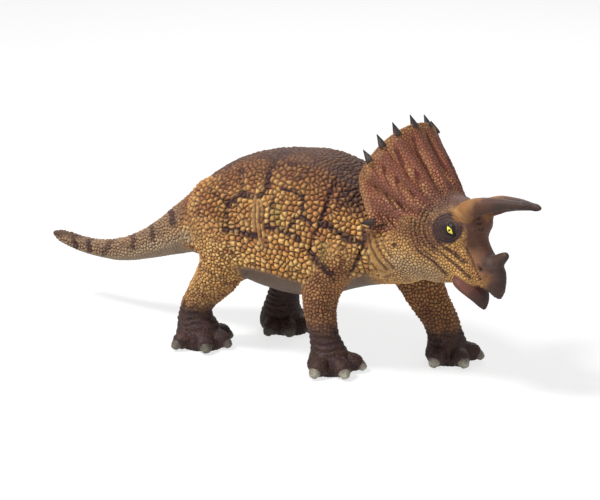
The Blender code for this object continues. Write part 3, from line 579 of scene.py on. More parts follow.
def frill_place(local):
    """The sheet turned round: from a place to its angle, its way to the rim and its distance in front."""
    x, y, z = local.T
    way = np.full(len(local), 0.5)
    for turn in range(FRILL_GUESSES):
        level = frill_middle(0.0, way)[1]
        angle = np.arctan2(-y, z - level)
        reach, radius = through(FRILL, np.clip(np.abs(angle) / FRILL_END, 0.0, 1.0)).T
        rim = FRILL_RIM * radius
        wide, tall = (half + (rim - half) * way for half in FRILL_ROOT)
        angle = np.arctan2(-y / wide, (z - level) / tall)
        grow = np.hypot(y / wide, (z - level) / tall)
        ways = [(size * grow - half) / (rim - half) for size, half in zip((wide, tall), FRILL_ROOT)]
        way = np.clip((ways[0] + ways[1]) / 2, -0.3, 1.4)
    outward = (FRILL_REACH * reach + FRILL_SAG * 4 * (1 - 2 * way)) / (rim - FRILL_ROOT_RADIUS)
    ahead = through(FRILL, np.clip((np.abs(angle) + FRILL_STEP) / FRILL_END, 0.0, 1.0))[:, 0]
    sideways = FRILL_REACH * (ahead - reach) * way / FRILL_STEP / (wide + tall) * 2
    return angle, way, (x - frill_middle(reach, way)[0]) / np.sqrt(1 + outward ** 2 + sideways ** 2)


sections, points = NET["jaw"]
along = np.linspace(0.0, 1.0, sections)
jaw_rings = upright_rings(JAW_REAR + JAW_LENGTH * along, *jaw_sections(along), points)
sections, points = NET["horn"]
along = np.linspace(0.0, 1.0, sections)
horn_tubes = [tube_rings(*horn_path(side, along), SIDEWAYS, points) for side in SIDES]
sections, points = NET["nose horn"]
along = np.linspace(0.0, 1.0, sections)
nose_horn_tube = tube_rings(*nose_horn_path(along), SIDEWAYS, points, NOSE_HORN_FLATNESS)
sections, points = NET["skull"]
along = np.linspace(0.0, 1.0, sections)
skull_rings = upright_rings(SKULL_LENGTH * along - SKULL_REAR, *skull_sections(along), points)
print("skull", skull_rings.shape, "snout points to", np.round(head_axes[:, 0], 2))

# %% [markdown]
# ## One skin over all forms
# On the real figure the skin runs on over every joint. Booleans would join the forms but leave sharp valleys and
# long thin faces. Voxel Remesh instead wraps all the closed forms in one even net of small squares, which is
# just what scales need. The net is then read back into numpy as two arrays, the points and the faces.

# %% Wrap the forms
VOXEL = 0.36


def tube(rings):
    """Points and faces of a closed body over rings: a grid that closes round, and a fan at each end."""
    stations, points = rings.shape[:2]
    base = np.arange(stations - 1)[:, None] * points
    here = np.arange(points)[None, :]
    after = (here + 1) % points
    corners = [base + here, base + after, base + after + points, base + here + points]
    quads = np.stack(corners, axis=2).reshape(-1, 4)
    first, last = stations * points, stations * points + 1
    rim = (stations - 1) * points
    here, after = here[0], after[0]
    start = np.stack([np.full(points, first), after, here], axis=1)
    end = np.stack([np.full(points, last), rim + here, rim + after], axis=1)
    verts = np.concatenate([rings.reshape(-1, 3), rings[0].mean(0)[None], rings[-1].mean(0)[None]])
    return verts, quads, np.concatenate([start, end])


def join(bodies):
    """Several closed bodies as one set of arrays."""
    counts = np.cumsum([0] + [len(body[0]) for body in bodies[:-1]])
    verts = np.concatenate([body[0] for body in bodies])
    quads = np.concatenate([body[1] + count for body, count in zip(bodies, counts)])
    fans = np.concatenate([body[2] + count for body, count in zip(bodies, counts)])
    return verts, quads, fans


def head_tube(rings):
    """A tube drawn in the head's frame, put in place."""
    verts, quads, fans = tube(rings)
    return from_head(verts), quads, fans


rings_on_head = [skull_rings, *(brow_rings(side) for side in SIDES), *(mound_rings(side) for side in SIDES),
                 jaw_rings, nose_horn_tube, frill_rings(), *horn_tubes]
bodies = [tube(trunk_rings), tube(tail_rings)] + [head_tube(rings) for rings in rings_on_head]
for name, (kind, foot, toes, run) in LEGS.items():
    bodies += [tube(leg_rings(name))] + [tube(toe_rings(foot, degrees)) for degrees in toes]
verts, quads, fans = join(bodies)
wrap = put_mesh("wrap", verts, [quads, fans])
wrap_modifier = wrap.modifiers.new("wrap", "REMESH")
wrap_modifier.mode = "VOXEL"
wrap_modifier.voxel_size = VOXEL / 1000
wrapped = wrap.evaluated_get(bpy.context.evaluated_depsgraph_get()).to_mesh()
skin = np.zeros(len(wrapped.vertices) * 3)
wrapped.vertices.foreach_get("co", skin)
skin = skin.reshape(-1, 3) * 1000
squares = np.zeros(len(wrapped.loops), dtype=np.int32)
wrapped.loops.foreach_get("vertex_index", squares)
squares = squares.reshape(-1, 4)
bpy.data.objects.remove(wrap)
print(len(skin), "points,", len(squares), "squares")

# %% [markdown]
# ## Whose skin is it?
# Later each part of the skin belongs to one piece: the trunk, the tail, the head or a leg. For each form we ask
# how far out a point is in the form's own section: 1 is the form's surface. The form with the lowest number
# owns the point, and where two forms are both near 1 there is a valley between them.

# %% How far out a point is in each form
# A share for what is out of reach; toes lie below this height and within this distance of their foot
FAR = 9.0
TOES_BELOW = 14.0
FOOT_REACH = 19.0
LAST_SHARE = 0.985


def section_share(x, y, z, sections):
    """Distance from a section's middle as a share of its outline, on the same drawn-out ellipse."""
    middle, top, bottom, widest, half_width = sections
    across = np.abs(y - middle) / half_width
    up = np.where(z >= widest, (z - widest) / (top - widest), (widest - z) / (widest - bottom))
    power = 2 / FULLNESS
    return (across ** power + np.abs(up) ** power) ** (1 / power)


def trunk_share(points):
    """The trunk's share, with its last section carried on ahead of the neck."""
    places = np.clip((points[:, 0] - TRUNK_REAR_X) / TRUNK_LENGTH, 0.0, 1.0)
    return section_share(*points.T, trunk_sections(places))


def skull_share(points):
    """The skull's share in the head's frame."""
    local = to_head(points)
    places = np.clip((local[:, 0] + SKULL_REAR) / SKULL_LENGTH, 0.0, LAST_SHARE)
    return section_share(*local.T, skull_sections(places))


def leg_share(points, name):
    """A leg's share: the ellipse at the point's height, with the foot's toes counted as leg."""
    level, middle_x, middle_y, half_x, half_y = leg_sections(name, np.linspace(0.0, 1.0, 140))
    z = points[:, 2]
    x = (points[:, 0] - np.interp(z, level, middle_x)) / np.interp(z, level, half_x)
    y = (points[:, 1] - np.interp(z, level, middle_y)) / np.interp(z, level, half_y)
    share = np.hypot(x, y)
    return np.where(z > level[-1], FAR, np.where(z < TOES_BELOW, np.minimum(share, 1.0), share))


def foot_distance(points, name):
    """Distance on the floor from a leg's foot, to tell one foot's toes from another's."""
    foot = LEGS[name][1]
    return np.hypot(points[:, 0] - foot[0], points[:, 1] - foot[1])


def tube_share(local, path, radius):
    """Distance from the nearest point of a path, as a share of the radius there."""
    nearest, share = np.full(len(local), NOWHERE), np.full(len(local), FAR)
    for middle, thick in zip(path, radius):
        gap = np.linalg.norm(local - middle, axis=1)
        closer = gap < nearest
        nearest, share = np.where(closer, gap, nearest), np.where(closer, gap / thick, share)
    return share


def head_shares(local):
    """Shares of the frill, the jaw, the nose horn and the right and the left brow horn.

    The frill's half thickness is taken larger away from its root and on its low lobes, to keep its ridges in it.
    """
    angle, way, off = frill_place(local)
    half = FRILL_THICKNESS / 2 * (1 - np.clip(way, 0.0, 1.0) / 2)
    half *= 1 + (0.6 + 0.8 * ramp(np.abs(angle), 1.25, 1.45)) * ramp(way, 0.18, 0.33)
    frill = np.maximum(np.abs(off) / half, 1 + 8 * np.maximum(way - 1.05, 0.08 - way))
    frill = np.where(np.abs(angle) > FRILL_END * 1.05, FAR, frill)
    places = np.clip((local[:, 0] - JAW_REAR) / JAW_LENGTH, 0.0, LAST_SHARE)
    jaw = section_share(*local.T, jaw_sections(places))
    jaw = np.where(local[:, 0] < JAW_REAR, jaw + JAW_REAR - local[:, 0], jaw)
    horns = [tube_share(local, *horn_path(side, np.linspace(0.1, 1.0, 40))) for side in SIDES]
    nose = tube_share(local, *nose_horn_path(np.linspace(0.1, 1.0, 14)))
    return np.array([frill, jaw, nose, *horns])


def shares(points):
    """Shares of every leg, of the trunk and the skull, the head's own X, and shares of what the head carries."""
    by_leg = []
    for name in LEGS:
        others_toes = (points[:, 2] < TOES_BELOW) & (foot_distance(points, name) > FOOT_REACH)
        by_leg.append(np.where(others_toes, FAR, leg_share(points, name)))
    local = to_head(points)
    on_head = np.full((5, len(points)), FAR)
    near = (local[:, 0] > -50.0) & (points[:, 2] > 30.0)
    on_head[:, near] = head_shares(local[near])
    return np.array(by_leg), trunk_share(points), skull_share(points), local[:, 0], on_head


# %% [markdown]
# ## Soft valleys
# Where a leg leaves the trunk the wrapped skin still has a sharp valley. Moving every point towards the middle of
# its neighbours smooths it, and doing that many times only where the forms meet leaves the rest alone. An edge
# list and a weighted count do this for all points at once.

# %% Neighbours, normals and smoothing
def edge_list(faces):
    """Every edge once, as pairs of point numbers."""
    corners = np.stack([faces, np.roll(faces, -1, axis=1)], axis=2).reshape(-1, 2)
    corners = np.sort(corners, axis=1).astype(np.int64)
    key = np.unique(corners[:, 0] * (faces.max() + 1) + corners[:, 1])
    return np.stack([key // (faces.max() + 1), key % (faces.max() + 1)], axis=1)


def neighbour_mean(values, edges, degree):
    """For each point, the mean of the values at the points it shares an edge with."""
    a, b = edges.T
    count = len(values)
    total = [np.bincount(a, column[b], count) + np.bincount(b, column[a], count)
             for column in values.reshape(count, -1).T]
    return (np.stack(total, axis=1) / degree[:, None]).reshape(values.shape)


def point_normals(points, faces):
    """Unit normals: the crossed diagonals of the faces round each point, added up."""
    corner = points[faces]
    across = np.cross(corner[:, 2] - corner[:, 0], corner[:, 3] - corner[:, 1])
    spread = np.repeat(across, 4, axis=0)
    total = np.stack([np.bincount(faces.ravel(), spread[:, axis], len(points)) for axis in range(3)], axis=1)
    return total / np.maximum(np.linalg.norm(total, axis=1), 1e-12)[:, None]


edges = edge_list(squares)
degree = np.bincount(edges.ravel(), minlength=len(skin)).astype(float)
by_leg, of_trunk, of_skull, head_x, on_head = shares(skin)
of_body = np.minimum(of_trunk, of_skull)
hip = bell(by_leg.min(0) - 1.02, 0.26) * bell(of_body - 1.02, 0.26)
nape = bell(of_trunk - 1.02, 0.30) * bell(of_skull - 1.02, 0.30)
rump = bell(skin[:, 0] - TRUNK_REAR_X, 9.0)
on_body = bell(of_body - 1.03, 0.16)
frill_foot = bell(on_head[0] - 1.0, 0.9) * on_body * ramp(0.30 - frill_place(to_head(skin))[1], 0.0, 0.12)
others = bell(on_head[1:].min(axis=0) - 1.0, 0.5) * on_body * (on_head[0] > 1.5)
valley = np.clip(1.3 * hip + 1.3 * nape + 0.6 * rump + 1.2 * frill_foot + 0.5 * others, 0.0, 1.0)
valley = (valley * ramp(skin[:, 2], 12.0, 20.0))[:, None]

# A step in and a slightly longer step out take off the net's stair marks without shrinking the figure
EVENING_ROUNDS = 6
STEP_IN = 0.5
STEP_OUT = 0.52
for turn in range(EVENING_ROUNDS):
    skin += STEP_IN * (neighbour_mean(skin, edges, degree) - skin)
    skin -= STEP_OUT * (neighbour_mean(skin, edges, degree) - skin)
# The valleys widen with every round, so a finer net needs more of them
VALLEY_REACH = 13.0
VALLEY_STEP = 0.62
for turn in range(round(VALLEY_REACH / VOXEL ** 2)):
    skin += VALLEY_STEP * valley * (neighbour_mean(skin, edges, degree) - skin)
print("smoothed", len(skin), "points, share of them in a valley:", round(float((valley > 0.5).mean()), 3))

# %% [markdown]
# ## Scales
# A Voronoi texture would be the quick way to scales, but cut by a curved skin its cells come out in all sizes.
# The sculptor's scales are all about as large as their neighbours. So we sow one seed in each small cube of
# space that the skin passes through, at any of its points, and move every seed to the middle of the skin nearest
# to it. The border between two scales is where two seeds are equally near, and there the crevice runs.

# %% Seeds and borders
# A cube that the skin only clips, with fewer points than this share of the usual, gets no seed
LEAST_IN_CUBE = 0.35
# The dome is full this far from its border, as a share of the size
DOME_REACH = 0.46
BORDER = 0.02


class Scales:
    """A pattern of scales over the skin, about one scale for each square of that size in mm."""

    def __init__(self, points, size):
        self.size = size
        self.low = points.min(axis=0) - 2 * size
        self.shape = np.floor((points.max(axis=0) - self.low) / size).astype(int) + 3
        key = self.cell(points)
        used, owner, count = np.unique(key, return_inverse=True, return_counts=True)
        keep = count > LEAST_IN_CUBE * np.median(count)
        order = np.random.default_rng(len(points)).permutation(len(points))
        pick = np.zeros(len(used), int)
        pick[owner[order]] = order
        self.seeds = points[pick][keep]
        self.table = np.full(np.prod(self.shape), -1)
        self.table[used[keep]] = np.arange(keep.sum())
        self.seeds = self.middles(points, self.nearest(points)[0])
        self.tone = np.random.default_rng(int(size * 100)).uniform(-1.0, 1.0, len(self.seeds))

    def cell(self, points):
        """The number of the cube that holds each point."""
        x, y, z = np.floor((points - self.low) / self.size).astype(int).T
        return (x * self.shape[1] + y) * self.shape[2] + z

    def middles(self, points, owner):
        """The mean place of each seed's points; a seed with none stays."""
        count = len(self.seeds)
        total = np.bincount(owner, minlength=count)
        middle = np.stack([np.bincount(owner, column, count) for column in points.T], axis=1)
        middle /= np.maximum(total, 1)[:, None]
        return np.where(total[:, None] > 0, middle, self.seeds)

    def nearest(self, points):
        """The nearest and the second nearest seed among the 27 cubes round each point."""
        key = self.cell(points)
        best, second = np.zeros(len(points), int), np.zeros(len(points), int)
        near, far = np.full(len(points), NOWHERE), np.full(len(points), NOWHERE)
        for number in range(27):
            step = ((number // 9 - 1) * self.shape[1] + number // 3 % 3 - 1) * self.shape[2] + number % 3 - 1
            seed = self.table[np.clip(key + step, 0, len(self.table) - 1)]
            gap = np.where(seed >= 0, ((points - self.seeds[seed]) ** 2).sum(axis=1), NOWHERE)
            first = gap < near
            after = ~first & (gap < far)
            far = np.where(first, near, np.where(after, gap, far))
            second = np.where(first, best, np.where(after, seed, second))
            near, best = np.where(first, gap, near), np.where(first, seed, best)
        return best, second, np.sqrt(near), np.sqrt(far)

    def relief(self, points, crevice):
        """Three rows: 0 in the crevices and 1 on the scales, the scale's rounded height, and its own tone."""
        best, second, near, far = self.nearest(points)
        apart = np.linalg.norm(self.seeds[best] - self.seeds[second], axis=1)
        border = (far ** 2 - near ** 2) / np.maximum(2 * apart, 1e-6)
        rise = np.clip(border / (DOME_REACH * self.size), 0.0, 1.0)
        return np.array([ramp(border, BORDER, crevice), rise * (2 - rise), self.tone[best]])


# Size, width of the crevices and depth of the relief, in mm
FLANK_SCALE = (2.3, 0.42, 1.25)
LIMB_SCALE = (1.6, 0.34, 0.80)
FACE_SCALE = (1.3, 0.30, 0.52)
flank_scales = Scales(skin, FLANK_SCALE[0])
limb_scales = Scales(skin, LIMB_SCALE[0])
face_scales = Scales(skin[(head_x > NECK_SEAM - 14.0) | (on_head[0] < 4.0)], FACE_SCALE[0])
print("seeds:", [len(scales.seeds) for scales in (flank_scales, limb_scales, face_scales)])

# %% [markdown]
# ## Drawing on the picture
# Stripes, folds and the edge of the pale belly are drawn as lines of picture points, as one would draw on a
# print of the figure. A place on the far side borrows the picture point of its mirror place on the near side,
# so both flanks get the same drawing, as a stencil turned over would give.

# %% Picture points for both sides, lines and borders
def near_side(points):
    """Every place moved to the near side of the middle plane, which is the one with negative Y."""
    return np.stack([points[:, 0], -np.abs(points[:, 1]), points[:, 2]], axis=1)


def chart(points, head_x):
    """Each place's picture point, or its mirror place's. The head is mirrored across its own middle plane."""
    of_head = ramp(head_x, -30.0, -18.0)[:, None]
    on_trunk = picture_point(near_side(points))
    return on_trunk * (1 - of_head) + picture_point(from_head(near_side(to_head(points)))) * of_head


def line_distance(places, line):
    """Distance in pixels to a line through picture points, the least over its stretches."""
    nearest = np.full(len(places), NOWHERE)
    corners = np.array(line, dtype=float)
    for start, end in zip(corners[:-1], corners[1:]):
        way = end - start
        t = np.clip((places - start) @ way / (way @ way), 0.0, 1.0)
        gap = places - start - t[:, None] * way
        nearest = np.minimum(nearest, np.hypot(gap[:, 0], gap[:, 1]))
    return nearest


def stroke(places, line, width):
    """1 on a line through picture points, fading out over its width in pixels."""
    return bell(line_distance(places, line), width)


def spot(places, middle, size):
    """1 at a picture point, fading out over a size, or over one across and one down."""
    return bell(np.hypot(*((places - middle) / size).T), 1.0)


def below(places, border):
    """How many pixels below a border line each picture point lies."""
    across, down = np.array(border, dtype=float).T
    return places[:, 1] - np.interp(places[:, 0], across, down)


# The folds: width in pixels, depth in mm, and the line
FOLDS = (
    (2.0, 0.80, ((330, 193), (326, 207), (322, 216), (317, 229), (309, 247), (307, 253), (312, 264), (322, 272),
                 (333, 282))),
    (1.6, 0.55, ((364, 226), (364, 238), (362, 250), (357, 262), (348, 278))),
    (1.1, 0.80, ((254, 203), (254, 222), (257, 241))), (1.1, 0.80, ((258, 201), (259, 222), (262, 242))),
    (1.1, 0.65, ((263, 206), (264, 224), (267, 244))), (1.0, 0.55, ((250, 210), (249, 226), (252, 243))),
    (1.1, 0.30, ((237, 236), (249, 243), (260, 247))), (1.1, 0.30, ((239, 243), (250, 249), (260, 252))),
    (1.1, 0.26, ((240, 250), (250, 254), (258, 257))),
    (1.0, 0.28, ((231, 275), (239, 277), (247, 272))), (1.0, 0.28, ((234, 281), (242, 282), (249, 277))),
    (1.0, 0.24, ((237, 287), (244, 287), (250, 282))),
    (1.5, 0.80, ((368, 234), (371, 248), (377, 260), (386, 271))),
    (1.5, 0.75, ((374, 235), (378, 248), (385, 260), (393, 269))),
    (1.3, 0.60, ((380, 238), (385, 249), (392, 258))),
    (1.2, 0.60, ((366, 250), (369, 262), (376, 272))),
    (0.9, 0.32, ((359, 275), (366, 272), (376, 270), (384, 273))),
)
# The stripes: width in pixels, strength, and the line
STRIPES = (
    (2.7, 1.0, ((227, 203), (233, 198), (241, 194), (254, 197), (261, 195), (267, 183), (268, 172))),
    (1.6, 0.8, ((226, 205), (227, 214), (227, 222))),
    (1.9, 0.9, ((281, 189), (292, 190), (301, 195))),
    (1.8, 0.8, ((273, 192), (273, 200), (270, 209), (269, 221))),
    (3.2, 1.0, ((225, 230), (241, 231), (253, 236))),
    (2.6, 1.0, ((266, 225), (276, 229), (286, 232), (299, 240))),
    (2.0, 1.0, ((303, 197), (302, 207), (303, 216), (295, 219), (289, 226))),
    (1.6, 0.9, ((303, 216), (308, 220), (311, 223))),
    (1.7, 0.9, ((330, 190), (326, 207), (321, 219), (318, 225))),
    (3.1, 1.0, ((320, 225), (328, 226), (337, 234), (349, 239), (358, 243))),
    (2.4, 1.0, ((309, 252), (316, 262), (324, 269), (330, 276))),
    (1.6, 0.9, ((364, 230), (364, 242), (361, 252), (352, 272))),
    (2.4, 0.9, ((168, 207), (171, 215), (172, 223))), (2.4, 0.9, ((149, 221), (152, 230), (153, 239))),
    (2.2, 0.9, ((131, 233), (134, 240), (133, 247))), (2.8, 0.7, ((112, 239), (108, 246), (104, 253))),
    (2.0, 1.0, ((87, 237), (89, 243), (90, 250))), (2.2, 1.0, ((73, 233), (74, 240), (76, 247))),
    (1.6, 0.7, ((210, 188), (216, 196), (222, 199))), (1.6, 0.7, ((240, 168), (240, 180), (242, 190))),
    (1.8, 0.8, ((272, 166), (290, 162), (304, 163))), (1.6, 0.7, ((282, 150), (277, 158), (268, 168))),
    (1.5, 0.7, ((318, 158), (309, 168), (300, 178))), (1.7, 0.8, ((345, 168), (336, 178), (331, 190))),
    (2.2, 0.9, ((358, 186), (348, 190), (338, 199))), (2.0, 0.8, ((356, 196), (348, 203), (340, 206))),
    (1.6, 0.6, ((205, 270), (216, 276), (226, 283))), (1.5, 0.7, ((196, 262), (204, 270), (214, 275))),
)
DORSAL_EDGE = ((40, 234), (90, 240), (130, 235), (150, 225), (170, 208), (195, 189), (220, 172), (240, 164),
               (262, 160), (290, 161), (320, 168), (345, 182), (370, 200), (600, 204))
TAIL_EDGE = ((40, 268), (85, 260), (100, 254), (125, 249), (145, 244), (165, 238), (180, 231), (194, 222),
             (205, 214), (215, 208))
BELLY_EDGE = ((150, 264), (240, 266), (253, 267), (268, 271), (285, 277), (303, 282), (340, 284), (351, 277),
              (364, 273), (384, 274), (400, 286), (600, 300))

# %% [markdown]
# ## Paints and zones
# The paints are few, as on the real figure, and every one has a name. A zone is a soft share from 0 to 1 that
# says how far a place belongs to a region, such as the belly or a foot. Relief and paint both read the zones, so
# a colour and a wrinkle that belong together stay together.

# %% Paints
def paint_colour(red, green, blue):
    """A paint given as the three numbers of a colour picker, made linear for the renderer."""
    value = np.array([red, green, blue]) / 255
    return np.where(value > 0.04045, ((value + 0.055) / 1.055) ** 2.4, value / 12.92)


PAINTS = {name: paint_colour(*mixed) for name, mixed in {
    "ochre": (182, 128, 68), "gold": (216, 174, 110), "rust": (128, 80, 54), "brown": (78, 49, 40),
    "stripe": (48, 27, 34), "dorsal": (62, 41, 35), "slate": (56, 42, 40), "olive": (110, 100, 44),
    # belly is the pale belly's paint darkened to its look in shade: partly painted shade
    "belly": (108, 90, 76), "ash": (160, 140, 116), "foot": (36, 24, 29), "snout": (98, 64, 55),
    "socket": (26, 23, 33), "cheek": (216, 166, 98), "throat": (180, 152, 116), "plum": (82, 54, 53),
    "beak": (52, 38, 40), "frill": (160, 100, 72), "blood": (84, 28, 24), "jaw": (112, 68, 60),
    "hornbase": (156, 108, 62), "hornmiddle": (76, 47, 38), "horntip": (42, 34, 36),
}.items()}


def coat(colour, layers):
    """Paints laid over the colours so far, one after another, each as thick as its cover says: 0 none, 1 full."""
    for name, cover in layers:
        colour = colour + (PAINTS[name] - colour) * np.clip(cover, 0.0, 1.0)[:, None]
    return colour


# %% Zones
# Height in mm where the dark foot ends, in the order of LEGS
FOOT_TOPS = np.array([21.0, 15.0, 20.0, 34.0])
# Far enough behind the head that a place on a leg is never taken for one on the head
LEG_HEAD_X = -90.0
# How far a line's picture points wander, in pixels, and over how many mm
WANDER = 1.1
WANDER_SIZE = 6.0


def zones(points, normals):
    """Named shares from 0 to 1 of the regions that a place belongs to, and its picture point."""
    by_leg, of_trunk, of_skull, head_x, on_head = shares(points)
    of_body = np.minimum(of_trunk, of_skull)
    leg = ramp(np.minimum(of_body, on_head.min(axis=0)) - by_leg.min(axis=0), -0.04, 0.10)
    which = by_leg.argmin(axis=0)
    height = points[:, 2]
    head = ramp(head_x, NECK_SEAM - 2.0, NECK_SEAM + 4.0) * (1 - leg)
    tail = ramp(TRUNK_REAR_X - points[:, 0], -3.0, 6.0) * (1 - leg)
    place = chart(points, np.where(leg > 0.5, LEG_HEAD_X, head_x))
    # Belly paint, partly painted shade: below the belly's edge and wherever the trunk faces well down
    belly = np.maximum(ramp(below(place, BELLY_EDGE), -1.0, 4.0), ramp(-normals[:, 2], 0.62, 0.85))
    under = np.maximum(ramp(below(place, TAIL_EDGE), 5.0, 13.0), ramp(-normals[:, 2], 0.3, 0.6))
    wander = np.stack([noise(points, WANDER_SIZE, seed) for seed in (41, 43)], axis=1)
    return dict(
        leg=leg, head=head, tail=tail, which=which, height=height, place=place, head_x=head_x,
        wavering=place + WANDER * wander, local=near_side(to_head(points)), on_head=on_head.T, body=of_body,
        belly=belly * (1 - leg) * (1 - tail) * (1 - head), under=under * tail,
        back=ramp(-below(place, DORSAL_EDGE), -4.0, 5.0) * (1 - leg) * (1 - head),
        foot=leg * ramp(FOOT_TOPS[which] - height, -5.0, 7.0),
        ankle=leg * ramp(FOOT_TOPS[which] - height, -17.0, 0.0),
    )


def frill_zone(zone):
    """Angle and way on the frill, 1 on its front and 0 on its back, and how far a place belongs to it."""
    angle, way, off = frill_place(zone["local"])
    share = zone["on_head"][:, 0]
    belongs = ramp(np.minimum(zone["body"], 2.0) - np.minimum(share, 2.0), -0.05, 0.12) * (share < 3.0)
    return angle, way, ramp(off, -0.4, 0.4), belongs


# %% [markdown]
# ## Relief
# Scales, folds, creases, ridges, ribs and grain are heights in mm that add up. One function answers for every
# place on the skin how far it is pressed in or raised, and it keeps for the paint which places lie deep and
# which stand up. A displacement modifier could do this from a texture, but it could not tell the painter where
# the crevices run.

# %% The face's lines and wrinkles
EYE = (447.5, 228.5)
EYE_WRINKLES = 3.0
CHEEK_WRINKLES = 4.4
NOSTRIL = (480.5, 270.0)
# The nostril's long axis leans: its two directions in the picture
NOSTRIL_LEAN = np.array([[0.9, 0.42], [-0.42, 0.9]])
SNOUT_EDGE = ((448, 190), (452, 212), (464, 232), (464, 247), (470, 262), (483, 283))
BROW_LINES = (((478, 218), (489, 220)), ((478, 223), (489, 225)), ((479, 229), (488, 231)))
SNOUT_CREASE = ((466, 248), (471, 258), (480, 280))
CHEEK_CREASES = (((430, 244), (444, 255), (458, 267), (471, 279)), ((438, 243), (450, 253), (464, 264)),
                 ((418, 250), (433, 262), (448, 275)), SNOUT_CREASE, *BROW_LINES)


def snout_cover(place):
    """1 on the smooth snout, ahead of a border that runs down from the brow to the corner of the mouth."""
    across, down = np.array(SNOUT_EDGE).T
    return ramp(place[:, 0] - np.interp(place[:, 1], down, across), -4.0, 6.0)


def face_folds(place, head):
    """Depth in mm of the wrinkles round the eye, the nostril and the creases that run back over the cheek."""
    from_eye = np.hypot(*(place - EYE).T)
    behind = ramp(EYE[0] - 8.0 - place[:, 0], 0.0, 8.0) * ramp(from_eye, 18.0, 22.0)
    behind *= ramp(44.0 - from_eye, 0.0, 8.0)
    rings = wave(from_eye, EYE_WRINKLES) * ramp(from_eye, 6.0, 9.0) * ramp(19.0 - from_eye, 0.0, 3.0)
    depth = 0.26 * rings + 0.55 * wave(from_eye, CHEEK_WRINKLES) * behind - 0.7 * bell(from_eye, 11.0)
    hole = np.hypot(*((place - NOSTRIL) @ NOSTRIL_LEAN / (1.5, 3.0)).T)
    depth += 1.3 * bell(hole, 0.9) - 0.35 * bell(hole - 2.3, 0.8)
    for line in CHEEK_CREASES:
        depth += 0.35 * stroke(place, line, 1.0)
    return depth * head


# %% The whole skin's relief
# Where the skin is bare of scales between the neck's folds and in front of the thigh
NECK_BARE = ((369, 238), (374, 256), (384, 272))
GROIN_BARE = ((256, 206), (256, 224), (260, 240))
TAIL_RIBS = 1.55
FOOT_WRINKLES = 2.3


def bareness(zone, of_frill, front, ridge):
    """How far a place is bare of scales: belly, feet, folds of the neck and groin, snout, ridges and horn."""
    place = zone["place"]
    bare = zone["belly"] + 0.7 * zone["foot"] + 0.9 * zone["under"] + 0.5 * zone["back"]
    bare += 0.85 * stroke(place, NECK_BARE, 8.0) * (1 - of_frill) + 0.8 * stroke(place, GROIN_BARE, 7.0)
    smooth = np.maximum(snout_cover(place), spot(place, EYE, 15.0)) * zone["head"]
    smooth = np.maximum(smooth, of_frill * front * ramp(ridge, 0.3, 0.8) * 0.6)
    horny = ramp(1.6 - zone["on_head"][:, 1:].min(axis=1), 0.0, 0.6)
    return np.maximum(np.clip(bare, 0.0, 1.0), np.maximum(0.8 * smooth, horny))


def skin_relief(points, normals):
    """Raise in mm along the normal, 0 in crevices and 1 on scales, the scales' rounding, tone, and the zones."""
    zone = zones(points, normals)
    angle, way, front, of_frill = frill_zone(zone)
    ridge = frill_ridge(angle)
    near_head = (zone["head_x"] > NECK_SEAM - 8.0) | (zone["on_head"][:, 0] < 3.0)
    face = np.ones((3, len(points)))
    face[:, near_head] = face_scales.relief(points[near_head], FACE_SCALE[1])
    flank, limb = flank_scales.relief(points, FLANK_SCALE[1]), limb_scales.relief(points, LIMB_SCALE[1])
    small = np.clip(zone["leg"] * ramp(62.0 - zone["height"], 0.0, 16.0) + zone["tail"], 0.0, 1.0)
    fine = np.maximum(zone["head"], of_frill)
    scale, dome, tone = (flank * (1 - small) + limb * small) * (1 - fine) + face * fine
    depth = (FLANK_SCALE[2] * (1 - small) + LIMB_SCALE[2] * small) * (1 - fine) + FACE_SCALE[2] * fine
    bare = bareness(zone, of_frill, front, ridge)

    raised = depth * (dome - 1 + 0.22 * tone) * (1 - bare)
    for width, fold, line in FOLDS:
        raised -= fold * stroke(zone["wavering"], line, width) * (1 - zone["foot"])
    raised -= face_folds(zone["place"], zone["head"] * (1 - of_frill))
    raised += of_frill * front * 0.35 * ridge * np.sin(math.pi * np.clip(way, 0.0, 1.0))
    grooves = zone["under"] * wave(points[:, 0], TAIL_RIBS)
    raised -= 0.26 * grooves
    level = zone["height"] + WANDER * noise(points, WANDER_SIZE, 29)
    raised -= 0.34 * zone["foot"] * ramp(level, 6.0, 10.0) * wave(level, FOOT_WRINKLES)
    raised += 0.10 * noise(points, 5.0, 3) + 0.04 * noise(points, 1.2, 5) * bare
    tops = np.minimum(1 - (1 - scale) * (1 - bare), 1 - 0.8 * grooves)
    return raised, tops, dome * (1 - bare) + 0.5 * bare, tone, zone


# %% [markdown]
# ## Paint
# The painter's layers follow each other as they do at the bench: a ground coat that varies from scale to scale,
# darker paint towards the back, patches, the face, the folds, the stripes, and the feet last. The brush strokes
# on the face are lines of picture points with a width and a strength. Each layer is a paint and how thickly it
# covers.

# %% The head's paint
# Paint, strength, width in pixels and line of the broad strokes on the face
FACE_STROKES = (
    ("cheek", 0.9, 14.0, ((425, 262), (445, 259), (462, 272), (480, 284))),
    ("cheek", 0.7, 10.0, ((378, 246), (392, 250), (405, 256))),
    ("throat", 0.9, 12.0, ((398, 262), (414, 270), (432, 278))),
    ("plum", 0.9, 14.0, ((392, 188), (412, 199), (438, 204), (456, 202))),
    ("plum", 0.6, 9.0, ((425, 215), (430, 228), (436, 244))),
    ("rust", 0.75, 11.0, ((386, 226), (404, 230), (420, 240))),
    ("brown", 0.4, 12.0, ((396, 216), (414, 224))),
    ("plum", 0.5, 9.0, ((440, 192), (452, 198), (462, 200))),
    ("gold", 0.7, 5.0, ((455, 209), (468, 211), (480, 211))),
)
FACE_LINES = (((428, 244), (443, 255), (457, 267), (470, 279)), ((437, 242), (450, 252), (463, 263)),
              ((416, 250), (432, 262), (446, 275)), ((446, 248), (458, 256), (466, 262)),
              ((424, 232), (426, 240), (432, 248)), *BROW_LINES, SNOUT_CREASE)
NOSE_TAN = ((472, 258), (472, 274), (484, 281))
BEAK_EDGE = (488.0, 503.0)
SOCKET_RADIUS = 17.5
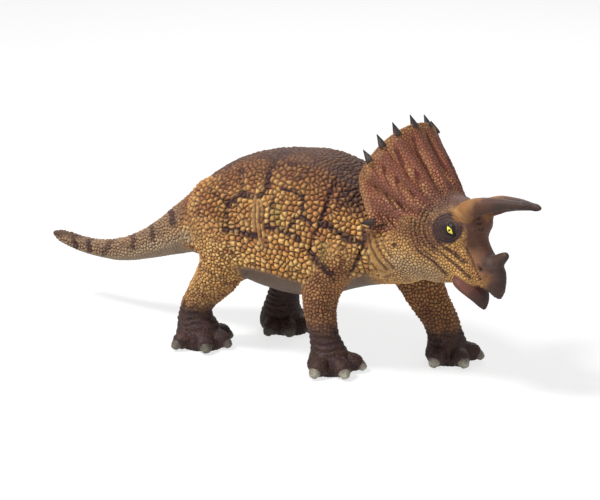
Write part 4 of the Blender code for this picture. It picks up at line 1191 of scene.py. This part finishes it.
# Middle and size in pixels of the two dark dots on the neck
DOTS = (((383, 236), (3.0, 2.2)), ((394, 245), 2.6))
STREAK_GAP = 7.4


def face_paint(colour, zone, patch, speck):
    """The head's first layers: cheeks, throat, plum crown, snout and beak, creases, and the dark socket."""
    place, head = zone["place"], zone["head"]
    colour = coat(colour, [(paint, cover * bell(line_distance(place, line) + 2 * patch, width) * head)
                           for paint, cover, width, line in FACE_STROKES])
    snout = snout_cover(place) * head
    beak_way = place[:, 0] + 0.5 * (place[:, 1] - NOSTRIL[1]) + 2.5 * speck
    colour = coat(colour, [
        ("snout", 0.95 * snout),
        ("plum", snout * ramp(patch + 0.6 * speck, 0.1, 0.7) * 0.5),
        ("hornbase", 0.8 * stroke(place, NOSE_TAN, 7.0) * head),
        ("beak", 0.9 * ramp(beak_way, *BEAK_EDGE) * head),
    ])
    for line in FACE_LINES:
        gap = line_distance(place, line) + 0.9 * speck
        colour = coat(colour, [("brown", 0.9 * ramp(1.9 - gap, 0.0, 1.4) * head)])
    from_eye = np.hypot(*(place - EYE).T)
    behind = ramp(EYE[0] - 6.0 - place[:, 0], 0.0, 8.0) * ramp(from_eye, 16.0, 20.0)
    behind *= ramp(46.0 - from_eye, 0.0, 10.0)
    rings = (1 - wave(from_eye, EYE_WRINKLES)) * ramp(from_eye, 6.0, 9.0) * ramp(17.0 - from_eye, 0.0, 3.0)
    hole = np.hypot(*((place - NOSTRIL) @ NOSTRIL_LEAN / (1.5, 2.8)).T)
    return coat(colour, [
        ("brown", 0.8 * wave(from_eye, CHEEK_WRINKLES) * behind * head),
        ("socket", ramp(SOCKET_RADIUS + 1.5 * patch + speck - from_eye, 0.0, 3.5) * head),
        ("plum", 0.55 * rings * head),
        ("socket", bell(hole, 1.0) * head),
    ])


def frill_paint(colour, zone, patch, speck, dome):
    """The frill: reddish, plum ridges and root, red streaks, pale beads at the rim, a dark back, two dots."""
    angle, way, front, of_frill = frill_zone(zone)
    ridge = frill_ridge(angle)
    across = angle * 26.0 * (0.4 + way)
    streak = np.abs(across - np.round(across / STREAK_GAP) * STREAK_GAP - 1.6 * patch)
    streaked = ramp(1.5 - streak + 0.9 * speck, 0.0, 0.6) * ramp(way, 0.2, 0.4) * ramp(1.0 - way, 0.05, 0.2)
    dots = np.min([np.hypot(*((zone["place"] - middle) / size).T) for middle, size in DOTS], axis=0)
    return coat(colour, [
        ("frill", of_frill),
        ("gold", of_frill * ramp(0.3 * patch + 0.9 * speck - ridge, 0.2, 1.3) * 0.35),
        ("plum", of_frill * front * ramp(ridge + 0.3 * patch, 0.25, 0.8) * ramp(way, 0.05, 0.3) * 0.5),
        ("plum", of_frill * front * ramp(0.3 - way + 0.06 * patch, 0.0, 0.2) * 0.7),
        ("blood", of_frill * front * streaked * ramp(0.6 - ridge, 0.0, 0.5) * 0.95),
        ("blood", of_frill * ramp(0.8 - dome, 0.0, 0.6) * 0.85),
        ("gold", of_frill * front * dome * ramp(way, 0.92, 0.97) * 0.4),
        ("dorsal", of_frill * (1 - front) * 0.7),
        ("stripe", 0.9 * ramp(1.3 - dots, 0.0, 0.5) * zone["head"]),
    ])


def horn_paint(colour, zone, patch, speck):
    """The lower jaw, the nose horn and the brow horns, tan at the root and nearly black at the tip."""
    jaw, nose, right, left = zone["on_head"][:, 1:].T
    ahead, _, level = zone["local"].T
    jaw = ramp(1.35 - jaw, 0.0, 0.25) * ramp(ahead, 2.0, 6.0) * (zone["body"] > 0.98)
    horn = ramp(1.5 - np.minimum(right, left), 0.0, 0.4)
    far_out = ahead + 0.6 * speck
    streaks = noise(zone["local"] * (0.25, 1.0, 1.0), 1.2, 47)
    return coat(colour, [
        ("jaw", jaw),
        ("beak", jaw * ramp(ahead + 1.5 * speck, 13.0, 18.5)),
        ("horntip", ramp(1.8 - nose, 0.0, 0.6) * ramp(level, -8.5, -6.5) * 0.85),
        ("hornbase", horn * 0.9),
        ("gold", horn * 0.35 * ramp(streaks, 0.0, 0.6) * ramp(7.0 - far_out, 0.0, 4.0)),
        ("hornmiddle", horn * ramp(far_out + 1.5 * streaks, 1.0, 7.0)),
        ("horntip", horn * ramp(far_out + 1.2 * patch, 6.0, 15.0)),
    ])


# %% The body's paint
# Strength, width in pixels and line of the olive patches
OLIVE_PATCHES = ((1.0, 5.0, ((276, 207), (277, 222))), (1.0, 4.5, ((322, 246), (321, 262))),
                 (0.5, 5.0, ((215, 206), (222, 226))))
NAPE = ((338, 172), (351, 186), (356, 206))
# Middle and size, across and down, of the rusty shoulder and the pale shank
SHOULDER = ((322, 200), (26.0, 30.0))
SHANK = ((205, 282), (17.0, 12.0))


def skin_paint(points, dome, tone, zone):
    """The painter's layers: ground coat, patches, face, stripes and feet.

    The crevice wash, the painted shade down the scales' slopes and the painted highlight on their
    tops are the material's.
    """
    place, height, leg, off_head = zone["place"], zone["height"], zone["leg"], 1 - zone["head"]
    patch, speck = noise(points, 9.0, 11), noise(points, 2.2, 13)
    upper = ramp(36.0 - below(place, DORSAL_EDGE), 0.0, 30.0) * off_head * (1 - leg)
    olive = np.max([share * stroke(place, line, width) for share, width, line in OLIVE_PATCHES], axis=0)
    dirt = ramp(noise(points, 5.0, 23), 0.15, 0.8) * (1 - zone["belly"])
    rear = ramp(262.0 - place[:, 0], 0.0, 40.0) * ramp(height, 46.0, 60.0)
    back = ramp(zone["back"] + 0.35 * patch + 0.3 * speck, 0.3, 0.95)
    pale = ramp(below(place, TAIL_EDGE) + 3 * patch, -4.0, 6.0) * ramp(226.0 - place[:, 0], 0.0, 14.0)
    pale *= (1 - leg) * np.maximum(zone["tail"], ramp(248.0 - place[:, 1], 0.0, 8.0))
    colour = coat(np.tile(PAINTS["ochre"], (len(points), 1)), [
        ("gold", 0.35 + 0.55 * tone + 0.3 * patch),
        ("rust", ramp(speck - 0.7 * tone, 0.1, 1.0) * 0.75),
        ("brown", ramp(noise(points, 1.6, 37) - 0.6 * tone, 0.4, 1.3) * 0.6),
        ("rust", (zone["which"] < 2) * leg * ramp(60.0 - height, 0.0, 20.0) * 0.7),
        ("rust", 0.6 * upper),
        ("brown", 0.55 * upper),
        ("ash", 0.5 * zone["tail"]),
        ("olive", 0.7 * olive),
        ("brown", dirt * (0.3 + 0.4 * rear)),
        ("rust", 0.4 * rear),
        ("dorsal", 0.85 * back),
        ("slate", back * ramp(noise(points, 4.0, 17), 0.1, 0.6) * 0.7),
        ("rust", 0.55 * spot(place, *SHOULDER) * off_head),
        ("slate", 0.6 * stroke(zone["wavering"], NAPE, 9.0) * off_head),
        # the belly's paint, partly painted shade under the trunk
        ("belly", zone["belly"]),
        ("ash", np.maximum(0.85 * zone["under"], 0.8 * pale)),
    ])
    colour = face_paint(colour, zone, patch, speck)
    colour = frill_paint(colour, zone, patch, speck, dome)
    colour = horn_paint(colour, zone, patch, speck)
    off_foot = 1 - zone["foot"]
    colour = coat(colour, [("brown", 1.2 * fold * stroke(zone["wavering"], line, 0.8 * width) * off_foot)
                           for width, fold, line in FOLDS])
    spared = 1 - dome * ramp(tone, 0.0, 1.0) * 0.45
    for width, strength, line in STRIPES:
        gap = line_distance(zone["wavering"], line) + 0.9 * speck + 0.5 * tone
        cover = strength * ramp(width + 1.1 - gap, 0.0, 1.4) * off_foot
        colour = coat(colour, [("stripe", cover * spared * 0.95)])
    return coat(colour, [
        ("cheek", 0.4 * spot(place, *SHANK) * leg),
        ("brown", 0.5 * ramp(zone["ankle"] + 0.2 * speck - 0.1 * tone, 0.1, 1.1)),
        ("foot", ramp(zone["foot"] + 0.25 * speck + 0.15 * patch, 0.2, 0.85)),
        ("plum", zone["foot"] * ramp(noise(points, 3.0, 31), 0.1, 0.9) * 0.4),
    ])


# %% [markdown]
# ## Cutting the skin into pieces
# The skin is cut where the real figure is glued: round each leg, behind the neck and at the root of the tail.
# Every face goes to the form that owns it; the owners are first blurred over the net, so the cuts run smoothly.
# Each cut is closed with a fan of triangles to a point inside, because a solid piece has no open edge.

# %% Owners and closed cuts
PIECES = list(LEGS) + ["torso_rear", "head", "tail", "frill", "lower_jaw", "nose_horn", "brow_horn_right",
                       "brow_horn_left", "torso_front"]
NODES = {"torso_rear": "torso", "torso_front": "torso"}
SLOTS = {"frill": "painted_frill", "lower_jaw": "painted_jaw", "nose_horn": "painted_horn",
         "brow_horn_right": "painted_horn", "brow_horn_left": "painted_horn"}
TORSO_PARTING = 14.0
OWNER_ROUNDS = 14
MOST_TURNS = 4000
OUT_OF_REACH = 99.0


def owners(points, faces):
    """The piece of every face, from owners that were blurred over the net."""
    by_leg, of_trunk, of_skull, head_x, on_head = shares(points)
    body = np.minimum(of_trunk, of_skull)[None]
    out_of_reach = np.full((2, len(points)), OUT_OF_REACH)
    label = np.concatenate([by_leg, body, out_of_reach, on_head]).argmin(axis=0)
    for name, beyond in (("head", head_x > NECK_SEAM), ("tail", points[:, 0] < TRUNK_REAR_X),
                         ("torso_front", points[:, 0] > TORSO_PARTING)):
        label[(label == PIECES.index("torso_rear")) & beyond] = PIECES.index(name)
    weight = np.eye(len(PIECES))[label]
    for turn in range(OWNER_ROUNDS):
        weight = neighbour_mean(weight, edges, degree)
    return weight[faces].sum(axis=1).argmax(axis=1)


def closing_fans(points, faces):
    """Triangles from each open edge to a point inside the piece, and those points."""
    edge = np.stack([faces, np.roll(faces, -1, axis=1)], axis=2).reshape(-1, 2).astype(np.int64)
    count = len(points)
    key, back = edge[:, 0] * count + edge[:, 1], edge[:, 1] * count + edge[:, 0]
    rim = edge[~np.isin(key, back)]
    ring = np.arange(count)
    for turn in range(MOST_TURNS):
        least = np.minimum(ring[rim[:, 0]], ring[rim[:, 1]])
        before = ring.copy()
        np.minimum.at(ring, rim[:, 0], least)
        np.minimum.at(ring, rim[:, 1], least)
        if (before == ring).all():
            break
    group = np.unique(ring[rim[:, 0]], return_inverse=True)[1]
    size = np.bincount(group)
    middle = np.stack([np.bincount(group, column) for column in points[rim[:, 0]].T], axis=1) / size[:, None]
    inward = points.mean(axis=0) - middle
    middle += inward / np.linalg.norm(inward, axis=1)[:, None]
    fans = np.stack([rim[:, 1], rim[:, 0], count + group], axis=1)
    return middle, fans, size


# %% Press the relief into the skin
normals = point_normals(skin, squares)
raised, tops, dome, tone, zone = skin_relief(skin, normals)
pressed = skin + raised[:, None] * normals
pressed[:, 2] = np.maximum(pressed[:, 2], 0.0)
pressed_normals = point_normals(pressed, squares)
owner = owners(skin, squares)
print("faces by piece:", dict(zip(PIECES, np.bincount(owner).tolist())))

colours = skin_paint(skin, dome, tone, zone)
skin_pieces = {}
for number, name in enumerate(PIECES):
    kept, faces = np.unique(squares[owner == number], return_inverse=True)
    faces = faces.reshape(-1, 4)
    shown = pressed[kept]
    middle, fans, size = closing_fans(shown, faces)
    extra = len(middle)
    obj = put_mesh(name + "_skin", np.concatenate([shown, middle]), [faces, fans])
    put_colour(obj, "paint", np.concatenate([colours[kept], np.tile(PAINTS["brown"], (extra, 1))]))
    for label, values in (("crevice", 1 - tops), ("dome", dome), ("tone", tone)):
        put_value(obj, label, np.concatenate([values[kept], np.zeros(extra)]))
    turned_up = np.tile([0.0, 0.0, 1.0], (extra, 1))
    obj.data.normals_split_custom_set_from_vertices(np.concatenate([pressed_normals[kept], turned_up]).tolist())
    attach(obj, "root")
    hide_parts(NODES.get(name, name))
    skin_pieces[name] = obj
    print(name, len(obj.data.polygons), "faces, open rims closed:", size.tolist())

# %% [markdown]
# ## Spikes, eyes and nails
# A crown of nine thorns stands on the frill's rim, each a small cone that bends back a little. The eye is a
# glossy dome, and its almond of yellow paint follows the dome. Every toe ends in a blunt hoof-like nail. All of
# them are too sharp or too fine for the wrap, so each is its own closed surface, sunk a little into the skin.

# %% Thorns round the frill
THORN_DEGREES = (-128.0, -70.0, -48.0, -26.0, 0.0, 26.0, 48.0, 70.0, 128.0)
LOWEST_THORN = 128.0
THORN_LENGTH = 3.5
THORN_ROOT = 1.8
THORN_RADIUS = 1.6
THORN_SPLAY = 0.2
THORN_LIFT = 0.15
THORN_FLATNESS = 0.85
THORN_FLUTES = 7
# Way along, radius
THORN = ((0.00, 1.12), (0.20, 1.00), (0.45, 0.74), (0.70, 0.44), (0.90, 0.20), (0.98, 0.10), (1.00, 0.03))


def thorn_rings(degrees):
    """Circles along a line that leaves the rim and bends backwards: radius from the table, flutes round it."""
    angle = np.full(2, math.radians(degrees))
    inner, outer = frill_sheet(angle, np.array([0.85, 1.0]))
    way = (outer - inner) / np.linalg.norm(outer - inner)
    if abs(degrees) < LOWEST_THORN:
        way = way + np.array([0.0, (THORN_SPLAY - 1) * way[1], THORN_LIFT])
        way = way / np.linalg.norm(way)
    sections, points = NET["thorn"]
    along = np.linspace(0.0, 1.0, sections)
    distance = (THORN_LENGTH + THORN_ROOT) * along - THORN_ROOT
    bend = np.array([-0.5, 0.0, 0.0]) * (along ** 2)[:, None]
    radius = THORN_RADIUS * through(THORN, along)[:, 0]
    path = outer + way * distance[:, None] + bend
    rings = tube_rings(path, radius, np.array([1.0, 0.0, 0.0]), points, THORN_FLATNESS)
    flute = 1 + 0.07 * np.cos(THORN_FLUTES * around(points) + degrees)[None, :, None]
    middle = rings.mean(axis=1, keepdims=True)
    return middle + (rings - middle) * flute


def outward(points, quads, fans):
    """The same body with its faces turned outwards: the signed volume under all faces must be positive."""
    corners = points[np.concatenate([quads[:, :3], fans])]
    volume = np.einsum("ij,ij->i", corners[:, 0], np.cross(corners[:, 1], corners[:, 2])).sum()
    return (points, quads, fans) if volume > 0 else (points, quads[:, ::-1], fans[:, ::-1])


def own_piece(name, body, node, values):
    """A separate closed piece with one number per point that says how far along it a point is."""
    obj = put_mesh(name, body[0], [body[1], body[2]])
    put_value(obj, "along", values)
    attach(obj, "root")
    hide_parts(node)
    return obj


def along_tube(rings):
    """How far along its tube each point is, the two end points last."""
    stations, points = rings.shape[:2]
    return np.concatenate([np.repeat(np.linspace(0.0, 1.0, stations), points), [0.0, 1.0]])


thorn_tubes = [thorn_rings(degrees) for degrees in THORN_DEGREES]
thorn_bodies = join([outward(*head_tube(rings)) for rings in thorn_tubes])
thorns = own_piece("frill_thorns", thorn_bodies, "frill",
                   np.concatenate([along_tube(rings) for rings in thorn_tubes]))
print("thorns:", len(thorns.data.polygons), "faces")

# %% Eyes
EYEBALL = (450.3, 229.8)
EYE_RADIUS = 3.3
EYE_SUNK = 2.45
EYE_SLANT = math.radians(50.0)
SEAT_POINTS = 60
# An almond coordinate far outside the painted eye, for the dome's hidden back
OFF_EYE = 9.0


def eye_seat():
    """The skin's place and direction where the picture shows the near eye, in the head's frame."""
    near = (normals @ to_back > 0.3) & (zone["head"] > 0.9)
    gap = np.where(near, np.hypot(*(picture_point(pressed) - EYEBALL).T), OUT_OF_REACH)
    nearest = np.argsort(gap)[:SEAT_POINTS]
    return to_head(pressed[nearest].mean(axis=0)[None])[0], normals[nearest].mean(axis=0) @ head_axes


def eye_body(side, seat, facing):
    """A dome of circles round the facing axis, and the almond's own coordinates for each point."""
    facing = facing / np.linalg.norm(facing)
    slant = to_right * math.cos(EYE_SLANT) - to_up * math.sin(EYE_SLANT)
    long_way = slant @ head_axes
    long_way -= facing * (long_way @ facing)
    long_way /= np.linalg.norm(long_way)
    short_way = np.cross(facing, long_way)
    mirror = np.array([1.0, -side, 1.0])
    sections, points = NET["eye"]
    circle = around(points)
    polar, turn = np.meshgrid(np.linspace(0.02, math.pi - 0.02, sections), circle, indexing="ij")
    out = np.sin(polar)
    swell = 1 + 0.05 * np.exp(-(polar / 0.35) ** 2)
    ahead, along, across = swell * np.cos(polar), out * np.cos(turn), out * np.sin(turn)
    rings = EYE_RADIUS * (facing * ahead[..., None] + long_way * along[..., None] + short_way * across[..., None])
    rings = (seat - facing * EYE_SUNK + rings) * mirror
    almond = np.stack([along, across], axis=2).reshape(-1, 2) * EYE_RADIUS
    almond[(polar > 1.5).reshape(-1)] = OFF_EYE
    return head_tube(rings), np.concatenate([almond, [[0.0, 0.0], [OFF_EYE, OFF_EYE]]])


seat, facing = eye_seat()
eyes = []
for side, name in ((-1, "eye_right"), (1, "eye_left")):
    body, almond = eye_body(side, seat, facing)
    eye = own_piece(name, outward(*body), "head", np.hypot(*almond.T))
    put_value(eye, "lengthways", almond[:, 0])
    put_value(eye, "crossways", almond[:, 1])
    eyes.append(eye)
print("eye seat in the head's frame:", seat.round(1), "facing", facing.round(2))

# %% Nails
# Way out along the toe, height of the middle, half width, half height
NAIL = ((0.78, 0.92, 0.62, 0.52), (0.86, 0.80, 0.66, 0.56), (0.94, 0.62, 0.60, 0.50), (1.00, 0.44, 0.44, 0.38),
        (1.04, 0.32, 0.26, 0.24), (1.05, 0.28, 0.08, 0.08))


def nail_rings(foot, degrees):
    """An oval tube that leaves the toe's end and dips to the floor, blunt and flat below."""
    sections, points = NET["nail"]
    places = np.linspace(NAIL[0][0], NAIL[-1][0], sections)
    level, wide, tall = through(NAIL, places).T
    side = toe_side(degrees)
    path = toe_path(foot, degrees, places, level)
    rings = tube_rings(path, TOE_RADIUS * tall, side, points)
    across = (rings - path[:, None]) @ side
    rings += side * (across * (wide / tall - 1)[:, None])[..., None]
    rings[:, :, 2] = np.maximum(rings[:, :, 2], 0.0)
    return rings


nails = []
for name, (kind, foot, toes, run) in LEGS.items():
    tubes = [nail_rings(foot, degrees) for degrees in toes]
    body = join([outward(*tube(rings)) for rings in tubes])
    nails.append(own_piece(name + "_nails", body, name,
                           np.concatenate([along_tube(rings) for rings in tubes])))
print("nails:", [len(nail.data.polygons) for nail in nails], "faces")

# %% [markdown]
# ## Materials
# The factory sprays a base colour, rubs a dark wash into the crevices and drags a nearly dry brush over the tops.
# The material does the same: it reads the paint, the depth of the crevice and the tone of the scale from the
# mesh, mixes wash and dry brush over them, and breaks both with noise. It also lays the wash's dark colour down
# the slopes of every scale as painted shade, and its dry brush on the tops is partly a painted highlight. Noise
# on Object coordinates also stirs the roughness, and a fine bump gives the plastic its tooth.

# %% Node helpers
# Dark brown of the crevice wash, also laid down the scales' slopes as painted shade
WASH_AND_SHADE = (0.020, 0.009, 0.009)


class Nodes:
    """A new material's node tree, with short ways to add nodes and join them."""

    def __init__(self, name):
        self.material = bpy.data.materials.new(name)
        self.material.use_nodes = True
        self.tree = self.material.node_tree
        self.shader = self.tree.nodes["Principled BSDF"]
        self.place = self.tree.nodes.new("ShaderNodeTexCoord").outputs["Object"]

    def join(self, source, target):
        """A link, or a plain value where there is nothing to link."""
        if isinstance(source, bpy.types.NodeSocket):
            self.tree.links.new(source, target)
        elif source is not None:
            target.default_value = source

    def value(self, name):
        """A number kept on the mesh."""
        node = self.tree.nodes.new("ShaderNodeAttribute")
        node.attribute_name = name
        return node.outputs["Fac"]

    def colour(self, name):
        """A colour kept on the mesh."""
        node = self.tree.nodes.new("ShaderNodeAttribute")
        node.attribute_name = name
        return node.outputs["Color"]

    def stir(self, size, detail=3.0):
        """Noise with features of that size in mm, from 0 to 1."""
        node = self.tree.nodes.new("ShaderNodeTexNoise")
        node.inputs["Scale"].default_value = 1000.0 / size
        node.inputs["Detail"].default_value = detail
        self.join(self.place, node.inputs["Vector"])
        return node.outputs["Fac"]

    def spread(self, source, low, high, to_low=0.0, to_high=1.0):
        """Moves the stretch from low to high onto another one, held at its ends."""
        node = self.tree.nodes.new("ShaderNodeMapRange")
        for socket, number in zip(("From Min", "From Max", "To Min", "To Max"), (low, high, to_low, to_high)):
            node.inputs[socket].default_value = number
        self.join(source, node.inputs["Value"])
        return node.outputs["Result"]

    def sum(self, operation, first, second):
        """Arithmetic on two numbers."""
        node = self.tree.nodes.new("ShaderNodeMath")
        node.operation = operation
        self.join(first, node.inputs[0])
        self.join(second, node.inputs[1])
        return node.outputs["Value"]

    def mix(self, cover, under, over, blend="MIX"):
        """One colour over another."""
        node = self.tree.nodes.new("ShaderNodeMix")
        node.data_type = "RGBA"
        node.blend_type = blend
        self.join(cover, node.inputs["Factor"])
        for source, socket in ((under, node.inputs[6]), (over, node.inputs[7])):
            self.join((*source, 1.0) if isinstance(source, tuple) else source, socket)
        return node.outputs[2]

    def bump(self, height, depth):
        """Small relief that the mesh is too coarse for, that many mm deep."""
        node = self.tree.nodes.new("ShaderNodeBump")
        node.inputs["Distance"].default_value = depth / 1000
        node.inputs["Strength"].default_value = 1.0
        self.join(height, node.inputs["Height"])
        self.join(node.outputs["Normal"], self.shader.inputs["Normal"])


# %% Painted skin
def painted(name, wash_and_shade, dry_brush_and_highlight, rough):
    """Base paint, wash in the crevices, dry brush on the tops, uneven gloss and fine tooth.

    The wash's colour also goes down the scales' slopes as painted shade, and the dry brush on the
    tops is partly a painted highlight.
    """
    nodes = Nodes(name)
    cloudy, fine, tooth = nodes.stir(9.0), nodes.stir(0.9), nodes.stir(0.28, 2.0)
    deep, dome, tone = nodes.value("crevice"), nodes.value("dome"), nodes.value("tone")
    colour = nodes.mix(nodes.spread(cloudy, 0.3, 0.75, 0.0, 0.22), nodes.colour("paint"), (0.10, 0.045, 0.02))
    colour = nodes.mix(nodes.spread(tone, -1.0, 1.0, 0.0, 0.2), colour, (0.16, 0.075, 0.03), "MIX")
    # Dry brush of pale paint on each scale's top, partly a painted highlight
    tops = nodes.sum("MULTIPLY", nodes.spread(dome, 0.6, 1.0), nodes.spread(fine, 0.42, 0.68, 0.2, 1.0))
    colour = nodes.mix(nodes.sum("MULTIPLY", tops, dry_brush_and_highlight), colour, (1.0, 0.86, 0.62), "SOFT_LIGHT")
    # Painted shade: the wash's dark colour darkens each scale's slopes from near its top downwards
    shade = nodes.sum("MULTIPLY", nodes.spread(dome, 0.78, 0.1), 0.95)
    cover = nodes.sum("MAXIMUM", nodes.spread(deep, 0.15, 0.85), shade)
    cover = nodes.sum("MULTIPLY", cover, nodes.spread(fine, 0.25, 0.7, 1.0, 0.8))
    colour = nodes.mix(nodes.sum("MULTIPLY", cover, wash_and_shade), colour, WASH_AND_SHADE)
    nodes.join(colour, nodes.shader.inputs["Base Color"])
    nodes.join(nodes.spread(fine, 0.3, 0.7, rough - 0.07, rough + 0.09), nodes.shader.inputs["Roughness"])
    nodes.shader.inputs["Specular IOR Level"].default_value = 0.22
    nodes.bump(nodes.sum("ADD", tooth, fine), 0.09)
    return nodes.material


# Strength of the wash with its painted shade, of the dry brush with its painted highlight, and roughness
scales_finish = painted("painted_scales", 0.92, 0.75, 0.58)
FINISHES = {"painted_frill": painted("painted_frill", 0.65, 0.4, 0.55),
            "painted_horn": painted("painted_horn", 0.5, 0.3, 0.56)}
for name, obj in skin_pieces.items():
    obj.data.materials.append(FINISHES.get(SLOTS.get(name), scales_finish))


# %% Thorns, nails and eyes
def horny(name, root, tip, stain):
    """Horn: one colour runs into another along the piece, with fine streaks, a stain and a low sheen."""
    nodes = Nodes(name)
    fine, cloudy, along = nodes.stir(0.5, 4.0), nodes.stir(2.2), nodes.value("along")
    far_out = nodes.sum("ADD", along, nodes.spread(fine, 0.3, 0.7, -0.1, 0.1))
    colour = nodes.mix(nodes.spread(far_out, 0.35, 0.85), root, tip)
    colour = nodes.mix(nodes.spread(cloudy, 0.45, 0.7, 0.0, 0.7), colour, stain)
    nodes.join(colour, nodes.shader.inputs["Base Color"])
    nodes.join(nodes.spread(fine, 0.3, 0.7, 0.36, 0.54), nodes.shader.inputs["Roughness"])
    nodes.bump(fine, 0.07)
    nodes.shader.inputs["Specular IOR Level"].default_value = 0.16
    return nodes.material


thorn_finish = horny("slate_thorn", (0.032, 0.023, 0.021), (0.009, 0.008, 0.010), (0.045, 0.03, 0.025))
thorns.data.materials.append(thorn_finish)
fore_nail = horny("pale_nail", (0.12, 0.10, 0.075), (0.34, 0.32, 0.26), (0.06, 0.042, 0.035))
hind_nail = horny("brown_nail", (0.05, 0.04, 0.033), (0.13, 0.115, 0.09), (0.035, 0.024, 0.02))
for nail, name in zip(nails, LEGS):
    nail.data.materials.append(fore_nail if name.startswith("fore") else hind_nail)


def eye_finish():
    """An almond of yellow paint in a dark socket, with an oval pupil: both from the coordinates on the dome."""
    nodes = Nodes("painted_eye")
    length, cross = nodes.value("lengthways"), nodes.value("crossways")
    speck = nodes.spread(nodes.stir(0.5), 0.3, 0.7, -0.12, 0.12)
    far_out = nodes.sum("POWER", nodes.sum("ABSOLUTE", length, 0.0), 1.6)
    almond = nodes.sum("ADD", nodes.sum("MULTIPLY", far_out, 0.36), nodes.sum("ABSOLUTE", cross, 0.0))
    almond = nodes.spread(nodes.sum("ADD", almond, speck), 0.98, 0.86)
    pupil = nodes.sum("ADD", nodes.sum("POWER", nodes.sum("DIVIDE", length, 0.36), 2.0),
                      nodes.sum("POWER", nodes.sum("DIVIDE", cross, 0.62), 2.0))
    yellow = nodes.mix(nodes.spread(nodes.stir(0.7), 0.35, 0.7), (0.62, 0.50, 0.03), (0.80, 0.72, 0.10))
    colour = nodes.mix(almond, (0.012, 0.010, 0.010), yellow)
    colour = nodes.mix(nodes.spread(pupil, 1.3, 0.9), colour, (0.008, 0.007, 0.007))
    nodes.join(colour, nodes.shader.inputs["Base Color"])
    nodes.join(nodes.spread(nodes.stir(0.6), 0.3, 0.7, 0.34, 0.5), nodes.shader.inputs["Roughness"])
    nodes.bump(nodes.stir(0.4), 0.02)
    nodes.shader.inputs["Specular IOR Level"].default_value = 0.12
    return nodes.material


eye_paint = eye_finish()
for eye in eyes:
    eye.data.materials.append(eye_paint)
print("materials:", sorted(material.name for material in bpy.data.materials))

# %% [markdown]
# ## Floor, light and background
# The photograph is a studio shot on white. A big floor catches a soft shadow. The background is white only for
# the camera and for reflections, so the lamps can stay at a level that shows every paint as it was mixed.

# %% Floor and lamps
FLOOR_SIZE = 6000.0
# Just under the feet, in mm
FLOOR_LEVEL = -0.02
# How much of the floor's white is given to what sees it directly
FLOOR_GLOW = 0.74
ROOM_LIGHT = 0.25
# Where the lamps point, in mm
LAMP_AIM = (0.0, 0.0, 45.0)
corners = np.array([(-1, -1), (1, -1), (1, 1), (-1, 1)]) * FLOOR_SIZE / 2
corners = np.concatenate([corners, np.full((4, 1), FLOOR_LEVEL)], axis=1)
floor = put_mesh("floor", corners, [np.array([[0, 1, 2, 3]])])
floor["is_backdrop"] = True
floor_nodes = Nodes("white_paper")
floor_nodes.shader.inputs["Base Color"].default_value = (0.82, 0.82, 0.82, 1.0)
dull = floor_nodes.spread(floor_nodes.stir(3.0), 0.3, 0.7, 0.8, 0.95)
floor_nodes.join(dull, floor_nodes.shader.inputs["Roughness"])
floor_nodes.bump(floor_nodes.stir(0.8), 0.02)


def seen_directly(tree):
    """1 for rays that come from the camera, a reflection or a view through glass."""
    rays = tree.nodes.new("ShaderNodeLightPath")
    total = rays.outputs["Is Camera Ray"]
    for name in ("Is Glossy Ray", "Is Transmission Ray"):
        larger = tree.nodes.new("ShaderNodeMath")
        larger.operation = "MAXIMUM"
        tree.links.new(total, larger.inputs[0])
        tree.links.new(rays.outputs[name], larger.inputs[1])
        total = larger.outputs["Value"]
    return total


glow = floor_nodes.tree.nodes.new("ShaderNodeEmission")
glow.inputs["Color"].default_value = (1.0, 1.0, 1.0, 1.0)
lift = floor_nodes.tree.nodes.new("ShaderNodeMixShader")
share = floor_nodes.sum("MULTIPLY", seen_directly(floor_nodes.tree), FLOOR_GLOW)
floor_nodes.join(share, lift.inputs["Fac"])
floor_nodes.join(floor_nodes.shader.outputs["BSDF"], lift.inputs[1])
floor_nodes.join(glow.outputs["Emission"], lift.inputs[2])
floor_nodes.join(lift.outputs["Shader"], floor_nodes.tree.nodes["Material Output"].inputs["Surface"])
floor.data.materials.append(floor_nodes.material)

world = bpy.data.worlds.new("studio")
bpy.context.scene.world = world
world.use_nodes = True
world_tree = world.node_tree
room = world_tree.nodes["Background"]
room.inputs["Color"].default_value = (1.0, 1.0, 1.0, 1.0)
room.inputs["Strength"].default_value = ROOM_LIGHT
white = world_tree.nodes.new("ShaderNodeBackground")
white.inputs["Strength"].default_value = 1.0
choice = world_tree.nodes.new("ShaderNodeMixShader")
world_tree.links.new(seen_directly(world_tree), choice.inputs["Fac"])
world_tree.links.new(room.outputs["Background"], choice.inputs[1])
world_tree.links.new(white.outputs["Background"], choice.inputs[2])
world_tree.links.new(choice.outputs["Shader"], world_tree.nodes["World Output"].inputs["Surface"])


def lamp(name, place, size, power):
    """A square soft light at a place in mm, turned towards the figure."""
    data = bpy.data.lights.new(name, "AREA")
    data.size = size / 1000
    data.energy = power
    obj = bpy.data.objects.new(name, data)
    back = Vector(place) - Vector(LAMP_AIM)
    turned = back.to_track_quat("Z", "Y").to_matrix().to_4x4()
    obj.matrix_world = Matrix.Translation(Vector(place) / 1000) @ turned
    bpy.context.scene.collection.objects.link(obj)


lamp("key", (-300.0, -450.0, 850.0), 200.0, 13.0)
lamp("fill", (650.0, -450.0, 350.0), 600.0, 1.6)
lamp("rim", (-200.0, 600.0, 600.0), 500.0, 3.0)
bpy.context.scene.view_settings.view_transform = "Standard"

# %% Sizes and the end
seen_low, seen_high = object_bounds()
past = [*(cad_low - seen_low), *(seen_high - cad_high)]
print("past the solids in mm:", [round(1000 * side, 1) for side in past])
